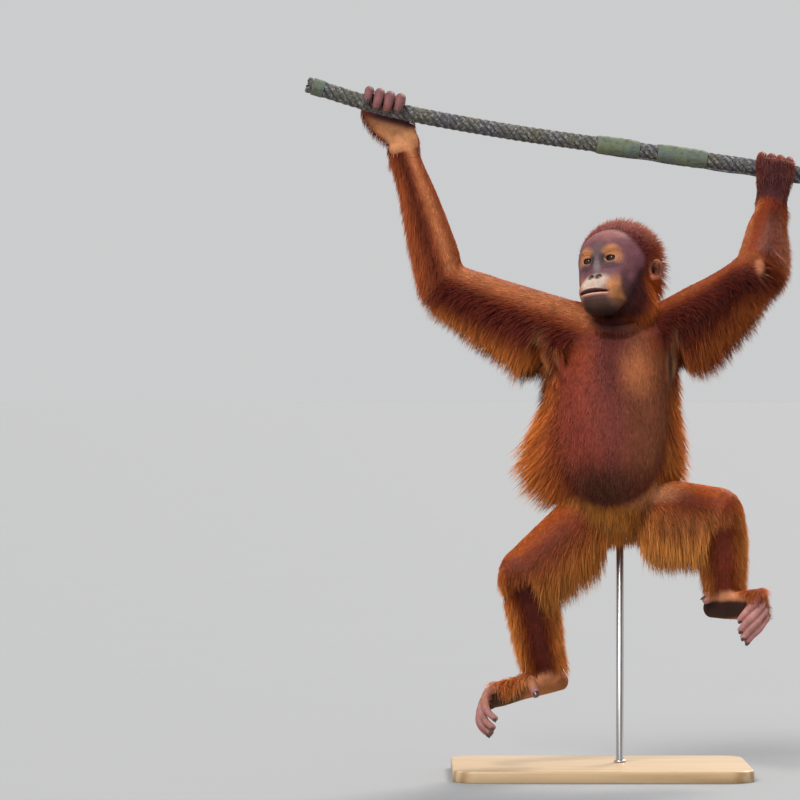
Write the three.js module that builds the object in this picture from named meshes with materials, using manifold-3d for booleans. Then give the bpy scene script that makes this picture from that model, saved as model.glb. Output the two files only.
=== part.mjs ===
// A young orangutan that hangs by both hands from a short length of thick rope, as a still,
// life-size display model. Millimetres, +Z up. The animal faces -Y, so its right side is at -X.
// The origin is the middle of the display base's underside.
import * as THREE from "three";
import { mergeVertices } from "three/addons/utils/BufferGeometryUtils.js";
import Module from "manifold-3d";

const wasm = await Module();
wasm.setup();

const gap = 0.3; // kept between touching pieces
const at = (x, y, z) => new THREE.Vector3(x, y, z);
const down = at(0, 0, -1);
const front = at(0, -1, 0);
const back = at(0, 1, 0);

// Joints of the body, where the bones meet
const joints = {
  skull: at(22, -8, 792),
  neckBase: at(30, 10, 672),
  shoulderRight: at(-42, 10, 690),
  elbowRight: at(-234, 0, 768),
  wristRight: at(-305, 10, 976),
  shoulderLeft: at(104, 6, 690),
  elbowLeft: at(229, -112, 780),
  wristLeft: at(268, 30, 888),
  hipRight: at(-6, 12, 416),
  kneeRight: at(-127, -52, 320),
  ankleRight: at(-83, 4, 160),
  hipLeft: at(74, 10, 420),
  kneeLeft: at(181, -92, 417),
  ankleLeft: at(190, -44, 290),
};

// Rope
const rope = {
  radius: 12.5,
  path: [
    at(-452, -26, 1068),
    at(-332, -12, 1033),
    at(-155, 8, 1000),
    at(64, 34, 970),
    at(278, 60, 940),
    at(372, 72, 925),
  ],
  steps: 25,
  sides: 8,
  splices: [[0.535, 0.59], [0.624, 0.692]], // wrapped lengths, as shares of the path
  spliceRadius: 15,
};

// Display base
const base = { width: 460, depth: 320, height: 18, corner: 40 };
const rod = { x: 32, y: 24, radius: 6, top: 420 };

// Head: smooth sum of round forms, x to its left, y forward, z up from the middle of the skull
const headTurn = { yaw: 31, pitch: 8, roll: 8 };
const headForms = [
  { c: [0, -4, 0], r: [57, 62, 56] }, // skull
  { c: [0, 28, -29], r: [45, 34, 42] }, // middle of the face
  { c: [0, 53, -52], r: [34, 29, 24] }, // muzzle
  { c: [0, 46, -69], r: [31, 29, 20] }, // chin
  { c: [26, 10, -46], r: [21, 36, 28] }, // jaw
  { c: [-26, 10, -46], r: [21, 36, 28] },
];
const headBlend = 11;
const nose = { centre: [0, 61, -30], r: [9.5, 7.5, 6.5] };
const eye = { x: 20, y: 42, z: -2, radius: 9.5 };
const lids = { thickness: 2.2, orbit: [15, 11, 11], bag: [11, 9, 5], halfWidth: 8.6, halfHeight: 5.2 };
const nostril = { x: 5.2, y: 68, z: -34, r: [3.4, 6, 2.6] };
const mouth = { y: 64, z: -58, halfWidth: 24.5, depth: 17, halfHeight: 1.1 };
const lips = {
  upper: { above: 3, out: 1.6, drop: 1, radii: [1.4, 3, 3.6, 3, 1.4] },
  lower: { above: -3.2, out: 1.8, drop: -1, radii: [1.4, 2.8, 3.3, 2.8, 1.4] },
};

// Ear: round forms from its own middle, x out from the head
const ear = {
  x: 54,
  y: -17,
  z: -15,
  flare: 40,
  lean: 0.12,
  shell: { offset: [5, -7, 0], r: [5, 12, 17.5], wide: 10, high: 6 },
  lobe: { offset: [4, -2, -13], r: [4, 6, 6], wide: 6, high: 4 },
  root: { offset: [1, 5, -2], r: [8, 7, 11], wide: 6, high: 4 },
  cup: { offset: [10.2, -6.8, 1], r: [5.2, 9.4, 13.6], wide: 8, high: 4 },
  bowl: { offset: [5.5, -3, -3], r: [4.6, 5, 6], wide: 6, high: 4 },
};

// Digits
const grips = {
  right: { point: at(-338, -12, 1033), spread: 1.14 },
  left: { point: at(275, 60, 940), spread: 1 },
};
const palm = { halfWidth: 29, halfDepth: 11.5 };
const finger = {
  pitch: 14.6,
  shares: [1, 1.08, 1.06, 0.94], // lengths from the index to the little finger
  bends: [0.1, 0.75, 1.4, 2.05, 2.7, 3.2], // angles round the rope
  radii: [8, 8.3, 7.4, 7.9, 6.9, 6],
  littleShare: 0.9, // thickness of the little finger
};
const thumb = {
  aside: 12, // from the palm's middle line
  bends: [[0, 0, 0], [2, 11, 4], [3, 23, 7]],
  radii: [8.5, 7.4, 6],
};
const toe = {
  pitch: 13,
  shares: [0.96, 1.05, 1.02, 0.9],
  radii: [7.6, 7.2, 6.4, 6.9, 5.9, 5.2],
  bigRadii: [9.5, 8.2, 6.4],
};

// Locks of hair
const hair = {
  denseShare: 0.25, // share of the coat's length that is dense, as part of the body's form
  sunk: 7, // depth of a lock's root under that form
  thickness: 4.2,
  shortest: 17,
  longFrom: 32, // longer locks have one more row
  shortRows: [[0, 0.9], [0.5, 0.8]], // share of the way and of the width
  longRows: [[0, 0.9], [0.42, 1], [0.74, 0.55]],
  variation: { length: 0.16, width: 0.15, roll: 0.5 },
  tries: [1, 0.8, 0.6], // shares of a lock's length, until it is clear of what is beside it
};

// A repeatable random number from 0 to 1
function randomFrom(seed) {
  let state = seed;
  return () => {
    state = (state + 0x6d2b79f5) | 0;
    let mixed = Math.imul(state ^ (state >>> 15), 1 | state);
    mixed = (mixed + Math.imul(mixed ^ (mixed >>> 7), 61 | mixed)) ^ mixed;
    return ((mixed ^ (mixed >>> 14)) >>> 0) / 4294967296;
  };
}

// Geometry to solid and back
function solidOf(geometry, matrix) {
  const bare = geometry.clone();
  bare.deleteAttribute("normal");
  bare.deleteAttribute("uv");
  if (matrix) bare.applyMatrix4(matrix);
  const merged = mergeVertices(bare, 1e-3);
  return new wasm.Manifold(
    new wasm.Mesh({
      numProp: 3,
      vertProperties: merged.attributes.position.array,
      triVerts: new Uint32Array(merged.index.array),
    }),
  );
}

function geometryOf(solid) {
  const mesh = solid.getMesh();
  const made = new THREE.BufferGeometry();
  made.setAttribute("position", new THREE.BufferAttribute(new Float32Array(mesh.vertProperties), 3));
  made.setIndex(new THREE.BufferAttribute(new Uint32Array(mesh.triVerts), 1));
  return made;
}

// Only the largest closed surface, which fills sealed hollows and drops loose scraps; it is taken
// again after points that all but touch are merged
const biggest = (solid) => solid.decompose().sort((a, b) => b.volume() - a.volume())[0];
const largest = (solid) => biggest(solidOf(geometryOf(biggest(solid))));

// Closed body through rows of points, where the first and the last row are one point each
function loft(rows) {
  const sides = rows[1].length;
  const points = rows.flat();
  const last = points.length - 1;
  const inner = rows.length - 2;
  const faces = [];
  for (let k = 0; k < sides; k++) {
    const next = (k + 1) % sides;
    faces.push(0, 1 + next, 1 + k);
    for (let row = 0; row < inner - 1; row++) {
      const here = 1 + row * sides;
      faces.push(here + k, here + next, here + sides + next);
      faces.push(here + k, here + sides + next, here + sides + k);
    }
    const end = last - sides;
    faces.push(end + k, end + next, last);
  }
  return closed(points, faces);
}

// A solid from points and faces that may be wound either way
function closed(points, faces) {
  const made = new THREE.BufferGeometry().setFromPoints(points);
  made.setIndex(faces);
  const body = solidOf(made);
  if (body.volume() > 0) return body;
  made.setIndex(faces.toReversed());
  return solidOf(made);
}

// A smooth curve through points, evenly paced between them
const smoothCurve = (points) => new THREE.CatmullRomCurve3(points, false, "centripetal");

// A long form through stations [centre, half width, half depth], with round ends
const capLength = 0.75; // of an end, as a share of the form's smaller half size
class Limb {
  constructor(stations, { sides, steps, facing = front, capShares = [0, 0.6] }) {
    this.path = smoothCurve(stations.map(([centre]) => centre));
    this.sizes = smoothCurve(stations.map(([, halfWidth, halfDepth]) => at(halfWidth, halfDepth, 0)));
    this.facing = facing;
    this.sides = sides;
    this.steps = steps;
    this.capShares = capShares;
  }

  section(t, grow = 0) {
    const along = this.path.getTangent(t);
    const across = new THREE.Vector3().crossVectors(along, this.facing).normalize();
    const up = new THREE.Vector3().crossVectors(across, along).normalize();
    const size = this.sizes.getPoint(t).addScalar(grow);
    return { centre: this.path.getPoint(t), along, across, up, halfWidth: size.x, halfDepth: size.y };
  }

  // Point on the surface, with its outward and lengthwise directions; `narrow` and `slide`
  // shape the ends
  spot(t, turn, grow = 0, narrow = 1, slide = 0) {
    const { centre, along, across, up, halfWidth, halfDepth } = this.section(t, grow);
    const [cos, sin] = [Math.cos(turn), Math.sin(turn)];
    const point = centre
      .clone()
      .addScaledVector(across, halfWidth * cos * narrow)
      .addScaledVector(up, halfDepth * sin * narrow)
      .addScaledVector(along, slide * Math.min(halfWidth, halfDepth));
    const out = across
      .clone()
      .multiplyScalar(cos / halfWidth)
      .addScaledVector(up, sin / halfDepth)
      .normalize();
    return { point, out, along };
  }

  // The whole form; `coat` may add an offset to each point
  body(grow = 0, coat = null) {
    const row = (t, narrow, slide) =>
      Array.from({ length: narrow > 0 ? this.sides : 1 }, (_, k) => {
        const { point, out, along } = this.spot(t, (2 * Math.PI * k) / this.sides, grow, narrow, slide);
        return coat ? point.addScaledVector(coat(t, out, along), narrow) : point;
      });
    const ends = this.capShares.map((share) => (share * Math.PI) / 2);
    const rows = ends.map((angle) => row(0, Math.sin(angle), -capLength * Math.cos(angle)));
    for (let i = 0; i <= this.steps; i++) rows.push(row(i / this.steps, 1, 0));
    rows.push(...ends.reverse().map((angle) => row(1, Math.sin(angle), capLength * Math.cos(angle))));
    return loft(rows);
  }
}

const straight = (a, b, share) => a.clone().lerp(b, share);

// Keep the side of a plane that the direction points to, half the gap away from the plane
const keepBeyond = (solid, point, direction, inset = gap / 2) => {
  const unit = direction.clone().normalize();
  return solid.trimByPlane(unit.toArray(), unit.dot(point) + inset);
};
const keepBefore = (solid, point, direction, inset) =>
  keepBeyond(solid, point, direction.clone().negate(), inset);

// Torso
const torso = new Limb(
  [
    [at(28, 8, 694), 48, 38],
    [at(29, 8, 676), 76, 50],
    [at(27, 4, 640), 84, 60],
    [at(20, -4, 585), 86, 70],
    [at(17, -10, 535), 88, 77],
    [at(18, -14, 488), 83, 80],
    [at(22, -8, 448), 66, 70],
    [at(29, 10, 418), 52, 48],
    [at(34, 20, 398), 42, 38],
  ],
  { sides: 18, steps: 11, capShares: [0, 0.5] },
);

// Neck
const neck = new Limb(
  [
    [at(29, 16, 680), 46, 40],
    [at(27, 10, 712), 42, 38],
    [at(24, 2, 745), 40, 38],
  ],
  { sides: 10, steps: 2 },
);

// Arms, each one long form that is cut at the elbow
function arm(shoulder, elbow, wrist, inward, bow) {
  return new Limb(
    [
      [shoulder.clone().add(inward), 36, 32],
      [shoulder, 42, 40],
      [straight(shoulder, elbow, 0.3), 37, 36],
      [straight(shoulder, elbow, 0.7).add(bow), 33, 32],
      [elbow, 30, 30],
      [straight(elbow, wrist, 0.25).add(bow), 30, 29],
      [straight(elbow, wrist, 0.6), 25, 23],
      [straight(elbow, wrist, 0.9), 19, 18],
      [wrist, 19.5, 16],
    ],
    { sides: 12, steps: 12 },
  );
}
const armRight = arm(
  joints.shoulderRight,
  joints.elbowRight,
  joints.wristRight,
  at(34, -2, -16),
  at(-1, 0, -3),
);
const armLeft = arm(
  joints.shoulderLeft,
  joints.elbowLeft,
  joints.wristLeft,
  at(-34, 2, -16),
  at(3, -4, -3),
);

// Legs, each one long form that is cut at the knee
function leg(hip, knee, ankle, inward, calf) {
  return new Limb(
    [
      [hip.clone().add(inward), 41, 41],
      [hip, 40, 40],
      [straight(hip, knee, 0.5), 36, 37],
      [straight(hip, knee, 0.88), 31, 31],
      [knee, 29, 30],
      [straight(knee, ankle, 0.14).add(calf), 30, 31],
      [straight(knee, ankle, 0.42).add(calf), 30, 31],
      [straight(knee, ankle, 0.8), 25, 25],
      [ankle, 21, 21.5],
    ],
    { sides: 12, steps: 12 },
  );
}
const legRight = leg(joints.hipRight, joints.kneeRight, joints.ankleRight, at(22, 2, 10), at(5, 6, 0));
const legLeft = leg(joints.hipLeft, joints.kneeLeft, joints.ankleLeft, at(-22, 4, 6), at(0, 8, 0));

// Distance to the smooth sum of the head's forms, negative inside
function headField(x, y, z) {
  let sum = Infinity;
  for (const { c, r } of headForms) {
    const [dx, dy, dz] = [x - c[0], y - c[1], z - c[2]];
    const near = Math.hypot(dx / r[0], dy / r[1], dz / r[2]);
    const far = Math.hypot(dx / r[0] ** 2, dy / r[1] ** 2, dz / r[2] ** 2);
    const d = far > 0 ? (near * (near - 1)) / far : -Math.min(...r);
    const mix = Math.max(headBlend - Math.abs(sum - d), 0) / headBlend;
    sum = sum === Infinity ? d : Math.min(sum, d) - (mix * mix * headBlend) / 4;
  }
  return sum;
}

// The head's own frame in the part's frame: its left is +X, its forward is -Y before the head turns
const degree = Math.PI / 180;
const headMatrix = new THREE.Matrix4()
  .makeTranslation(...joints.skull.toArray())
  .multiply(new THREE.Matrix4().makeRotationZ(-headTurn.yaw * degree))
  .multiply(new THREE.Matrix4().makeRotationX(-headTurn.pitch * degree))
  .multiply(new THREE.Matrix4().makeRotationY(-headTurn.roll * degree))
  .multiply(new THREE.Matrix4().makeBasis(at(1, 0, 0), at(0, -1, 0), at(0, 0, 1)));
const fromHead = (x, y, z) => at(x, y, z).applyMatrix4(headMatrix);
const headWay = (x, y, z) => fromHead(x, y, z).sub(fromHead(0, 0, 0)).normalize();

// Point of the head's surface along a ray from the middle of the head, in its own frame
const headMiddle = [0, 6, -14];
const beyondHead = 140;
const halvings = 24;
function onHead(ray, grow = 0) {
  let inside = 0;
  let outside = beyondHead;
  for (let step = 0; step < halvings; step++) {
    const middle = (inside + outside) / 2;
    const value = headField(...ray.map((r, axis) => headMiddle[axis] + r * middle)) - grow;
    if (value < 0) inside = middle;
    else outside = middle;
  }
  return ray.map((r, axis) => headMiddle[axis] + r * inside);
}

// Round net over the head, whose pole faces forward and whose rings crowd towards the face
const crowding = 0.28;
function headRound(grow = 0) {
  const made = new THREE.SphereGeometry(1, 24, 17);
  const spots = made.attributes.position;
  for (let i = 0; i < spots.count; i++) {
    const fromPole = Math.acos(THREE.MathUtils.clamp(spots.getY(i), -1, 1)) / Math.PI;
    const polar = Math.PI * fromPole * (1 - crowding + crowding * fromPole);
    const around = Math.atan2(spots.getZ(i), spots.getX(i));
    const ray = [Math.sin(polar) * Math.cos(around), Math.cos(polar), Math.sin(polar) * Math.sin(around)];
    spots.setXYZ(i, ...onHead(ray, grow));
  }
  return solidInHead(made);
}

// The head's frame is a mirrored one, so a mesh placed by it is closed again with its faces turned
function solidInHead(geometry) {
  const placed = geometry.clone().applyMatrix4(headMatrix);
  placed.deleteAttribute("normal");
  placed.deleteAttribute("uv");
  const merged = mergeVertices(placed, 1e-4);
  const spots = merged.attributes.position;
  const pointAt = (_, i) => new THREE.Vector3().fromBufferAttribute(spots, i);
  return closed(Array.from({ length: spots.count }, pointAt), Array.from(merged.index.array));
}

function formInHead(centre, radii, { wide = 10, high = 7, tilt = [0, 0, 0] } = {}) {
  const turn = new THREE.Quaternion().setFromEuler(new THREE.Euler(...tilt));
  const matrix = new THREE.Matrix4().compose(at(...centre), turn, at(...radii));
  return solidInHead(new THREE.SphereGeometry(1, wide, high).applyMatrix4(matrix));
}

// A bent bar across the muzzle that stands out from it and drops at its ends
function lipSolid({ above, out, drop, radii }) {
  const stations = [-1, -0.62, 0, 0.62, 1].map((share, i) => {
    const x = share * mouth.halfWidth;
    const z = mouth.z + above - drop * share * share;
    let y = mouth.y + mouth.depth;
    while (headField(x, y, z) > -out) y -= 0.25;
    return [fromHead(x, y, z), radii[i], radii[i]];
  });
  return new Limb(stations, { sides: 6, steps: 6, facing: headWay(0, 1, 0) }).body();
}

function headSolid() {
  const slitSize = [mouth.halfWidth, mouth.depth + 5, mouth.halfHeight];
  const slit = formInHead([0, mouth.y - 2, mouth.z], slitSize, { wide: 16, high: 4, tilt: [0.04, 0, 0] });
  const noseTip = formInHead(nose.centre, nose.r, { wide: 8, high: 6 });
  let made = wasm.Manifold.union([headRound(), lipSolid(lips.upper), lipSolid(lips.lower), noseTip]);
  for (const side of [-1, 1]) {
    const around = (x, y, z) => [side * (eye.x + x), eye.y + y, eye.z + z];
    const ball = (radius) => formInHead(around(0, 0, 0), Array(3).fill(radius));
    const orbit = formInHead(around(1, 21, 0), lids.orbit);
    const bag = formInHead(around(1, 2, -6), lids.bag, { wide: 8, high: 6 });
    const opening = formInHead(around(-0.5, 9, 0), [lids.halfWidth, 8, lids.halfHeight], { high: 6 });
    made = wasm.Manifold.union([made.subtract(orbit), ball(eye.radius + lids.thickness), bag]);
    made = made.subtract(opening).subtract(ball(eye.radius + 2 * gap));
    const hole = { wide: 6, high: 5, tilt: [-0.5, side * 0.25, side * 0.2] };
    made = made.subtract(formInHead([side * nostril.x, nostril.y, nostril.z], nostril.r, hole));
  }
  return made.subtract(slit);
}

const eyeSolid = (side) => formInHead([side * eye.x, eye.y, eye.z], Array(3).fill(eye.radius));

// Ear: a flat shell with a raised rim and a cupped hollow, turned out from the side of the head
function earSolid(side) {
  const tilt = [ear.lean, 0, side * ear.flare * degree];
  const form = ({ offset, r, wide, high }) => {
    const turned = at(side * offset[0], offset[1], offset[2]).applyEuler(new THREE.Euler(...tilt));
    const centre = [side * ear.x + turned.x, ear.y + turned.y, ear.z + turned.z];
    return formInHead(centre, r, { wide, high, tilt });
  };
  const whole = wasm.Manifold.union([form(ear.shell), form(ear.lobe), form(ear.root)]);
  return whole.subtract(form(ear.cup)).subtract(form(ear.bowl));
}

// Rope, thicker where a splice wraps it
const ropeCurve = smoothCurve(rope.path);
function ropeSolid(grow = 0) {
  const row = (t, narrow, slide) => {
    const along = ropeCurve.getTangent(t);
    const across = new THREE.Vector3().crossVectors(along, front).normalize();
    const up = new THREE.Vector3().crossVectors(across, along);
    const wrapped = rope.splices.some(([from, to]) => t > from && t < to);
    const size = ((wrapped ? rope.spliceRadius : rope.radius) + grow) * narrow;
    return Array.from({ length: narrow ? rope.sides : 1 }, (_, k) => {
      const turn = (2 * Math.PI * k) / rope.sides;
      return ropeCurve
        .getPoint(t)
        .addScaledVector(along, slide)
        .addScaledVector(across, size * Math.cos(turn))
        .addScaledVector(up, size * Math.sin(turn));
    });
  };
  const rows = [row(0, 0, -grow)];
  for (let i = 0; i <= rope.steps; i++) {
    rows.push(row(i / rope.steps, 1, i === 0 ? -grow : i === rope.steps ? grow : 0));
  }
  rows.push(row(1, 0, grow));
  return loft(rows);
}

function nearestOnRope(point) {
  const tries = 400;
  const distance = (t) => ropeCurve.getPoint(t).distanceTo(point);
  let best = 0;
  for (let i = 0; i <= tries; i++) {
    if (distance(i / tries) < distance(best)) best = i / tries;
  }
  return { centre: ropeCurve.getPoint(best), along: ropeCurve.getTangent(best) };
}

// Hand: a palm on one side of the rope, with the fingers over the top and down its other side
function handSolid(wrist, grip, back, thumbSide) {
  const { centre, along } = nearestOnRope(grip.point);
  const upward = new THREE.Vector3().crossVectors(along, back);
  if (upward.z < 0) upward.negate();
  const around = (angle, reach, slide) =>
    centre
      .clone()
      .addScaledVector(along, slide)
      .addScaledVector(back, reach * Math.cos(angle))
      .addScaledVector(upward, reach * Math.sin(angle));
  const palmDepth = rope.radius + palm.halfDepth + gap;
  const halfWidth = palm.halfWidth * grip.spread;
  const knuckles = around(0, palmDepth, 0);
  const palmForm = new Limb(
    [
      [wrist.clone().addScaledVector(upward, -8), 19.5, 16],
      [wrist.clone().addScaledVector(upward, 8), 21, 15],
      [straight(wrist, knuckles, 0.66), halfWidth - 2.5, palm.halfDepth],
      [knuckles, halfWidth, palm.halfDepth - 0.6],
      [around(0.45, palmDepth, 0), halfWidth - 1.5, palm.halfDepth - 1.6],
    ],
    { sides: 10, steps: 4, facing: back },
  );
  const pieces = [palmForm.body()];
  finger.shares.forEach((share, i) => {
    const slide = thumbSide * (1.5 - i) * finger.pitch * grip.spread;
    const stations = finger.bends.map((angle, k) => {
      const size = finger.radii[k] * grip.spread * (i === 3 ? finger.littleShare : 1);
      return [around(angle * share, rope.radius + size + gap, slide), size, size];
    });
    pieces.push(new Limb(stations, { sides: 5, steps: 5, facing: along }).body());
  });
  const thumbRoot = straight(wrist, knuckles, 0.2).addScaledVector(along, thumbSide * thumb.aside);
  const thumbStations = thumb.bends.map(([sideways, up, inward], k) => {
    const point = thumbRoot
      .clone()
      .addScaledVector(along, thumbSide * sideways)
      .addScaledVector(upward, up)
      .addScaledVector(back, -inward);
    return [point, thumb.radii[k], thumb.radii[k]];
  });
  pieces.push(new Limb(thumbStations, { sides: 6, steps: 3, facing: back }).body());
  return wasm.Manifold.union(pieces);
}

// Foot: sole, four curled toes and a short big toe, from its own long, sole and inner directions
function footSolid({ heel, ball, sole, inner, ankle, curl, bigToe }, shinWay) {
  const long = ball.clone().sub(heel).normalize();
  const mid = straight(heel, ball, 0.5);
  const offset = (from, [forward, under, inwards], share = 1) =>
    from
      .clone()
      .addScaledVector(long, forward * share)
      .addScaledVector(sole, under * share)
      .addScaledVector(inner, inwards * share);
  const body = new Limb(
    [
      [offset(heel, [0, -4, 0]), 15, 15],
      [offset(straight(heel, ball, 0.22), [0, -6, 0]), 20, 17],
      [offset(mid, [0, -4, 0]), 23, 13.5],
      [straight(heel, ball, 0.82), 26, 11],
      [ball, 26.5, 9.5],
    ],
    { sides: 10, steps: 4, facing: sole },
  );
  const instep = new Limb(
    [
      [offset(ankle, [0, -12, 0]), 19, 20],
      [ankle, 19, 20],
      [straight(ankle, mid, 0.55), 19, 17],
    ],
    { sides: 10, steps: 2, facing: long },
  );
  const pieces = [body.body(), keepBeyond(instep.body(), ankle, shinWay)];
  toe.shares.forEach((share, i) => {
    const root = offset(ball, [-6, 0, (1.5 - i) * toe.pitch]);
    const stations = curl.map((bend, k) => [offset(root, bend, share), toe.radii[k], toe.radii[k]]);
    pieces.push(new Limb(stations, { sides: 5, steps: 5, facing: inner }).body());
  });
  const bigRoot = offset(straight(heel, ball, bigToe.from), [0, 0, 14]);
  const bigStations = bigToe.bends.map((bend, k) => {
    const size = toe.bigRadii[k];
    return [offset(bigRoot, bend), size, size];
  });
  pieces.push(new Limb(bigStations, { sides: 6, steps: 3, facing: long }).body());
  return wasm.Manifold.union(pieces);
}

const footRight = {
  heel: at(-58, 24, 142),
  ball: at(-170, -36, 124),
  sole: at(0.43, -0.62, -0.66).normalize(),
  inner: at(0.23, -0.63, 0.74).normalize(),
  ankle: joints.ankleRight,
  curl: [[0, 0, 0], [16, 4, 0], [30, 15, 0], [39, 32, 0], [41, 49, 0], [36, 64, 0]],
  bigToe: { from: 0.5, bends: [[0, -4, 4], [1, 13, 5], [3, 28, 3]] },
};
const footLeft = {
  heel: at(168, -26, 258),
  ball: at(243, -100, 268),
  sole: at(-0.66, -0.62, -0.42).normalize(),
  inner: at(-0.26, -0.24, 0.93).normalize(),
  ankle: joints.ankleLeft,
  curl: [[0, 0, 0], [12, 5, 0], [17, 18, -2], [14, 31, -8], [5, 40, -15], [-4, 46, -23]],
  bigToe: { from: 0.22, bends: [[0, 0, 6], [-5, 9, 9], [-10, 18, 9]] },
};

// Coat: for each zone, how long the hair is and which way it lies at a spot of its limb
const smooth = THREE.MathUtils.smoothstep;
const under = (out) => smooth(-out.z, -0.3, 0.85);
const mixed = (...pairs) => {
  const sum = at(0, 0, 0);
  for (const [direction, share] of pairs) sum.addScaledVector(direction, share);
  return sum.normalize();
};
// The right side's hair stands out most at one height of the torso
const flank = { at: 0.54, spread: 0.14, more: 20 };
const bulge = (t, out) => smooth(-out.x, 0.1, 0.9) * Math.exp(-(((t - flank.at) / flank.spread) ** 2));
const coats = {
  torso: {
    limb: torso,
    length: (t, out) => {
      const side = smooth(out.y, -0.55, 0.1);
      const full = 28 + 24 * smooth(t, 0.2, 0.5) + flank.more * bulge(t, out);
      return side * full * (1 - 0.7 * smooth(t, 0.66, 0.86));
    },
    lie: (t, out) => mixed([out, 0.5 + 0.2 * t + 0.5 * bulge(t, out)], [down, 0.8 - 0.2 * bulge(t, out)]),
  },
  neck: {
    limb: neck,
    length: (t, out) => smooth(out.y, -0.6, 0.2) * 34,
    lie: (t, out) => mixed([out, 0.7], [down, 0.6]),
  },
};
for (const [name, limb, outside] of [["right", armRight, at(-1, 0, 0)], ["left", armLeft, at(1, 0, 0)]]) {
  coats[`upper_arm_${name}`] = {
    limb,
    length: (t, out) => 7 + 45 * under(out) * (1 - 0.6 * smooth(t, 0.22, 0.5)),
    lie: (t, out, along) => mixed([out, 0.35], [down, 0.75], [along, 0.3]),
  };
  coats[`forearm_${name}`] = {
    limb,
    length: (t, out) => {
      const fringe = smooth(out.dot(outside) - 0.5 * out.z, -0.2, 0.9);
      return 5 + fringe * (12 + 12 * (1 - smooth(t, 0.5, 0.85)));
    },
    lie: (t, out, along) => mixed([out, 0.45], [down, 0.5], [along, -0.5]),
  };
}
for (const [name, limb, fringe] of [["right", legRight, 32], ["left", legLeft, 24]]) {
  coats[`thigh_${name}`] = {
    limb,
    length: (t, out) => 7 + 64 * under(out) * (0.6 + 0.4 * smooth(-out.y, -1, 0.2)),
    lie: (t, out, along) => mixed([out, 0.4], [down, 0.75], [along, 0.25]),
  };
  coats[`shin_${name}`] = {
    limb,
    length: (t, out) => 7 + fringe * smooth(Math.abs(out.x), 0.2, 0.9),
    lie: (t, out, along) => mixed([out, 0.45], [along, 0.75], [down, 0.2]),
  };
}

// Pieces give way, by the gap, to those that are settled before them, apart from one across a cut
const nodes = {};
const settled = {};
function settle(name, solid, fat, acrossCut = "") {
  const others = Object.keys(settled).filter((other) => other !== acrossCut);
  nodes[name] = largest(others.reduce((rest, other) => rest.subtract(settled[other]), solid));
  if (fat) settled[name] = fat;
}

// Cuts at the joints: which side of each plane a piece keeps
const between = (before, joint, after) => {
  const way = joint.clone().sub(before).normalize();
  return way.add(after.clone().sub(joint).normalize());
};
const cuts = {};
for (const [name, Side] of [["right", "Right"], ["left", "Left"]]) {
  const [shoulder, elbow, wrist] = ["shoulder", "elbow", "wrist"].map((part) => joints[part + Side]);
  const [hip, knee, ankle] = ["hip", "knee", "ankle"].map((part) => joints[part + Side]);
  const elbowWay = between(shoulder, elbow, wrist);
  const kneeWay = between(hip, knee, ankle);
  const midway = straight(joints.hipRight, joints.hipLeft, 0.5);
  cuts[`upper_arm_${name}`] = [[keepBefore, elbow, elbowWay]];
  cuts[`forearm_${name}`] = [[keepBeyond, elbow, elbowWay], [keepBefore, wrist, wrist.clone().sub(elbow)]];
  cuts[`hand_${name}`] = [[keepBeyond, wrist, wrist.clone().sub(elbow)]];
  cuts[`thigh_${name}`] = [[keepBefore, knee, kneeWay], [keepBeyond, midway, hip.clone().sub(midway)]];
  cuts[`shin_${name}`] = [[keepBeyond, knee, kneeWay], [keepBefore, ankle, ankle.clone().sub(knee)]];
}
const trimmed = (name, solid, inset) =>
  (cuts[name] ?? []).reduce((rest, [keep, point, way]) => keep(rest, point, way, inset), solid);

// Stand: a base with rounded corners, and a rod up into the rump
function baseSolid() {
  const [w, d, r] = [base.width / 2, base.depth / 2, base.corner];
  const outline = new THREE.Shape();
  outline.moveTo(-w + r, -d);
  outline.lineTo(w - r, -d).absarc(w - r, -d + r, r, -Math.PI / 2, 0);
  outline.lineTo(w, d - r).absarc(w - r, d - r, r, 0, Math.PI / 2);
  outline.lineTo(-w + r, d).absarc(-w + r, d - r, r, Math.PI / 2, Math.PI);
  outline.lineTo(-w, -d + r).absarc(-w + r, -d + r, r, Math.PI, 1.5 * Math.PI);
  const settings = { depth: base.height, bevelEnabled: false, curveSegments: 3 };
  return solidOf(new THREE.ExtrudeGeometry(outline, settings));
}
function rodSolid(extra = 0) {
  const height = rod.top - base.height - gap;
  const matrix = new THREE.Matrix4()
    .makeTranslation(rod.x, rod.y, base.height + gap + height / 2)
    .multiply(new THREE.Matrix4().makeRotationX(Math.PI / 2));
  return solidOf(new THREE.CylinderGeometry(rod.radius + extra, rod.radius + extra, height, 12), matrix);
}

// Body with the dense underside of its coat
function bodyForm(name, grow = 0) {
  const { limb, length } = coats[name];
  const dense = (t, out) => out.clone().multiplyScalar(hair.denseShare * length(t, out));
  return trimmed(name, limb.body(grow, dense), grow ? -gap : undefined);
}

settle("head", headSolid(), headRound(gap));
for (const [name, side] of [["right", -1], ["left", 1]]) {
  nodes[`eye_${name}`] = eyeSolid(side);
  settle(`ear_${name}`, earSolid(side));
}
for (const name of Object.keys(coats)) {
  const acrossCut = name.replace("forearm", "upper_arm").replace("shin", "thigh");
  settle(name, bodyForm(name), bodyForm(name, 2 * gap), acrossCut);
}
settle("perch_rope", ropeSolid(), ropeSolid(gap));
const handRight = handSolid(joints.wristRight, grips.right, back, 1);
const handLeft = handSolid(joints.wristLeft, grips.left, front, -1);
settle("hand_right", trimmed("hand_right", handRight), null, "forearm_right");
settle("hand_left", trimmed("hand_left", handLeft), null, "forearm_left");
settle("foot_right", footSolid(footRight, joints.ankleRight.clone().sub(joints.kneeRight)));
settle("foot_left", footSolid(footLeft, joints.ankleLeft.clone().sub(joints.kneeLeft)));
settle("stand_rod", rodSolid());
nodes.stand_base = baseSolid();
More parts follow.
